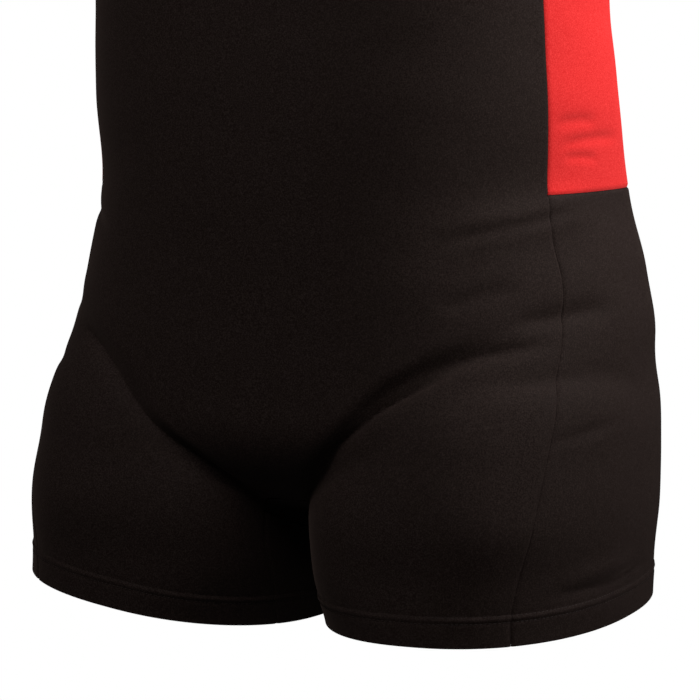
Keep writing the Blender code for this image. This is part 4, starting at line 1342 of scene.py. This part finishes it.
@dataclass
class SeamTurns:
    """The raw edges sewn together behind the seams of one half: narrow strips on the cloth's inner face."""

    name: str
    finish: Knit
    form: WornForm
    relief: Relief
    reach: float = 5.5 * MM
    pitch: float = 3.5 * MM
    clearance: float = 0.10 * MM
    thickness: float = 0.9 * MM
    over_hem: float = 1.0 * MM

    SEAMS = ("side_front", "side_back", "inseam_whole", "colour", "shoulder", "gusset_front_end",
             "gusset_back_end", "gusset_front_side", "gusset_back_side")
    TO_HEM = ("side_front", "side_back", "inseam_whole")

    def strip(self, mesh: bmesh.types.BMesh, line: np.ndarray, cut: Cut) -> None:
        """Lay one strip behind a seam.

        Args:
            mesh: Where it goes.
            line: The seam, on the form's left half.
            cut: The half that it belongs to.
        """
        rows = max(3, int(lengths(line)[-1] / self.pitch))
        middle = along_line(line, np.linspace(0, 1, rows))
        across = np.cross(self.form.normals(middle), np.gradient(middle, axis=0))
        across /= np.linalg.norm(across, axis=1, keepdims=True)
        offsets = np.linspace(-self.reach, self.reach, 7)
        points = self.form.settle(middle[:, None] + across[:, None] * offsets[None, :, None])
        under = (self.relief.lift(points, cut.side)
                 - self.relief.wall(points, cut, Sheet.wall, Sheet.turned) - self.clearance)
        places = (points + self.form.normals(points) * under[..., None]) * cut.side.mirror
        last_column, last_row = len(offsets) - 1, rows - 1
        made = bmesh.ops.create_grid(mesh, x_segments=last_column, y_segments=last_row, size=0.5)["verts"]
        for vert in made:
            column = round((vert.co.x + 0.5) * last_column)
            row = round((vert.co.y + 0.5) * last_row)
            vert.co = places[row, column]
        faces = list({face for vert in made for face in vert.link_faces})
        faces[0].normal_update()
        spot = np.array(faces[0].calc_center_median())
        if np.dot(self.form.normals(spot[None])[0], np.array(faces[0].normal)) < 0:
            bmesh.ops.reverse_faces(mesh, faces=faces)

    def build(self, cut: Cut) -> bpy.types.Object:
        """Make every strip of one half as one piece."""
        mesh = bmesh.new()
        for seam in self.SEAMS:
            line = cut.lines[seam]
            if seam in self.TO_HEM:
                line, _ = parted(line, lambda p: cut.hem.above(p) - self.over_hem)
            self.strip(mesh, line, cut)
        piece = new_piece(self.name, mesh, self.finish.material())
        solid = piece.modifiers.new("wall", "SOLIDIFY")
        solid.thickness = self.thickness
        solid.offset = -1.0
        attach(piece, "root")
        log.info("%s: %d faces", self.name, len(piece.data.polygons))
        return piece


@dataclass(frozen=True)
class SoftLight:
    """A square soft light that looks at the garment's middle line.

    Bearing is in degrees round from the front towards the wearer's left, rise in degrees above level and
    spread in degrees that the beam opens.  Height is where on the middle line it looks.
    """

    name: str
    bearing: float
    rise: float
    away: float
    size: float
    power: float
    height: float
    spread: float

    def add(self) -> None:
        """Put the light in the scene."""
        turn, up = math.radians(self.bearing), math.radians(self.rise)
        way = Vector((math.sin(turn) * math.cos(up), -math.cos(turn) * math.cos(up), math.sin(up)))
        data = bpy.data.lights.new(self.name, "AREA")
        data.energy = self.power
        data.size = self.size
        data.spread = math.radians(self.spread)
        light = bpy.data.objects.new(self.name, data)
        light.location = Vector((0, 0, self.height)) + way * self.away
        light.rotation_euler = (-way).to_track_quat("-Z", "Y").to_euler()
        bpy.context.scene.collection.objects.link(light)


@dataclass(frozen=True)
class Studio:
    """Camera, lights, white room and floor."""

    azimuth: float = 27.0
    away: float = 2.57
    camera_z: float = -0.291
    aim_z: float = -0.5675
    aim_right: float = 0.0056
    lens: float = 189.9
    sensor: float = 36.0
    room_light: float = 0.05
    floor_z: float = -2.60
    floor_reach: float = 2.0
    lights: tuple[SoftLight, ...] = (
        SoftLight("key", bearing=106, rise=36, away=1.6, size=0.5, power=3.9, height=-0.40, spread=45),
        SoftLight("fill", bearing=5, rise=45, away=1.8, size=1.4, power=13, height=-0.10, spread=100),
    )

    def aim(self) -> Vector:
        """The point that the camera looks at."""
        turn = math.radians(self.azimuth)
        return Vector((math.cos(turn), math.sin(turn), 0)) * self.aim_right + Vector((0, 0, self.aim_z))

    def add_camera(self) -> None:
        """The camera at the photograph's angle and framing."""
        turn = math.radians(self.azimuth)
        ahead = Vector((-math.sin(turn), math.cos(turn), 0))
        data = bpy.data.cameras.new("camera")
        data.lens = self.lens
        data.sensor_width = self.sensor
        camera = bpy.data.objects.new("camera", data)
        camera.location = self.aim() - ahead * self.away + Vector((0, 0, self.camera_z - self.aim_z))
        camera.rotation_euler = (self.aim() - camera.location).to_track_quat("-Z", "Y").to_euler()
        bpy.context.scene.collection.objects.link(camera)
        bpy.context.scene.camera = camera

    def add_room(self) -> None:
        """A white room that lights the garment only faintly."""
        world = bpy.data.worlds.new("studio")
        bpy.context.scene.world = world
        graph = Graph(world)
        graph.tree.nodes.remove(graph.tree.nodes["Background"])
        faint, seen = (graph.node("ShaderNodeBackground", {}, {"Color": WHITE, "Strength": strength}).out()
                       for strength in (self.room_light, 1.0))
        by_camera = graph.node("ShaderNodeLightPath").out("Is Camera Ray")
        room = graph.node("ShaderNodeMixShader", {}, {0: by_camera, 1: faint, 2: seen}).out()
        graph.feed(graph.tree.nodes["World Output"].inputs["Surface"], room)

    def add_floor(self) -> None:
        """The pale floor, far below."""
        mesh = bmesh.new()
        bmesh.ops.create_grid(mesh, x_segments=1, y_segments=1, size=self.floor_reach,
                              matrix=Matrix.Translation((0, 0, self.floor_z)))
        new_piece("floor", mesh, StudioPaint().material())

    def build(self) -> None:
        """Set the whole studio up."""
        self.add_camera()
        self.add_room()
        self.add_floor()
        for light in self.lights:
            light.add()
        bpy.context.scene.view_settings.view_transform = "Standard"


def main() -> None:
    """Build the garment on its frame."""
    logging.basicConfig(level=logging.INFO, format="%(name)s %(message)s")
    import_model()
    form = WornForm()
    cuts = {side: Cut(form, side) for side in Side}
    relief = Relief(form, cuts)
    both = [cuts[Side.LEFT], cuts[Side.RIGHT]]
    Studio().build()

    shared = {"form": form, "relief": relief}
    FrontPanel("front_cloth", ("front_panel",), "black_knit", BLACK_KNIT,
               flat=(0.56, 0.84), area=0.27, **shared).build(both)
    BackPanel("back_cloth", ("back_panel",), "black_knit", BLACK_KNIT,
              flat=(0.80, 0.84), area=0.29, **shared).build(both)
    for cut in both:
        word = cut.side.word
        UpperSide(f"upper_side_cloth_{word}", (f"upper_side_{word}",), "red_knit", RED_KNIT,
                  flat=(0.15, 0.20), area=0.025, **shared).build([cut])
        LowerSide(f"lower_side_cloth_{word}", (f"lower_side_{word}",), "black_knit", BLACK_KNIT,
                  flat=(0.22, 0.31), area=0.052, **shared).build([cut])
    Gusset("gusset_cloth", ("crotch_gusset",), "black_knit", BLACK_KNIT,
           flat=(0.08, 0.17), area=0.0075, **shared).build([cuts[Side.LEFT]])

    for cut in both:
        word = cut.side.word
        SeamTurns(f"seam_turns_{word}", BLACK_KNIT, form, relief).build(cut)
        TwinStitch(f"hem_stitch_{word}", BLACK_THREAD, form, relief).hem(cut)
        TwinStitch(f"neck_stitch_{word}", BLACK_THREAD, form, relief).edge(
            cut, ("front_neckline", "back_neckline"), (0.10, 0.0, -0.30))
        TwinStitch(f"armhole_stitch_{word}", BLACK_THREAD, form, relief).edge(
            cut, ("front_armhole", "back_armhole"), (0.0, 0.0, -0.30))
        TwinStitch(f"underarm_stitch_{word}", BLACK_THREAD, form, relief).edge(
            cut, ("underarm",), (0.18, 0.0, -0.60))


if __name__ == "__main__":
    main()
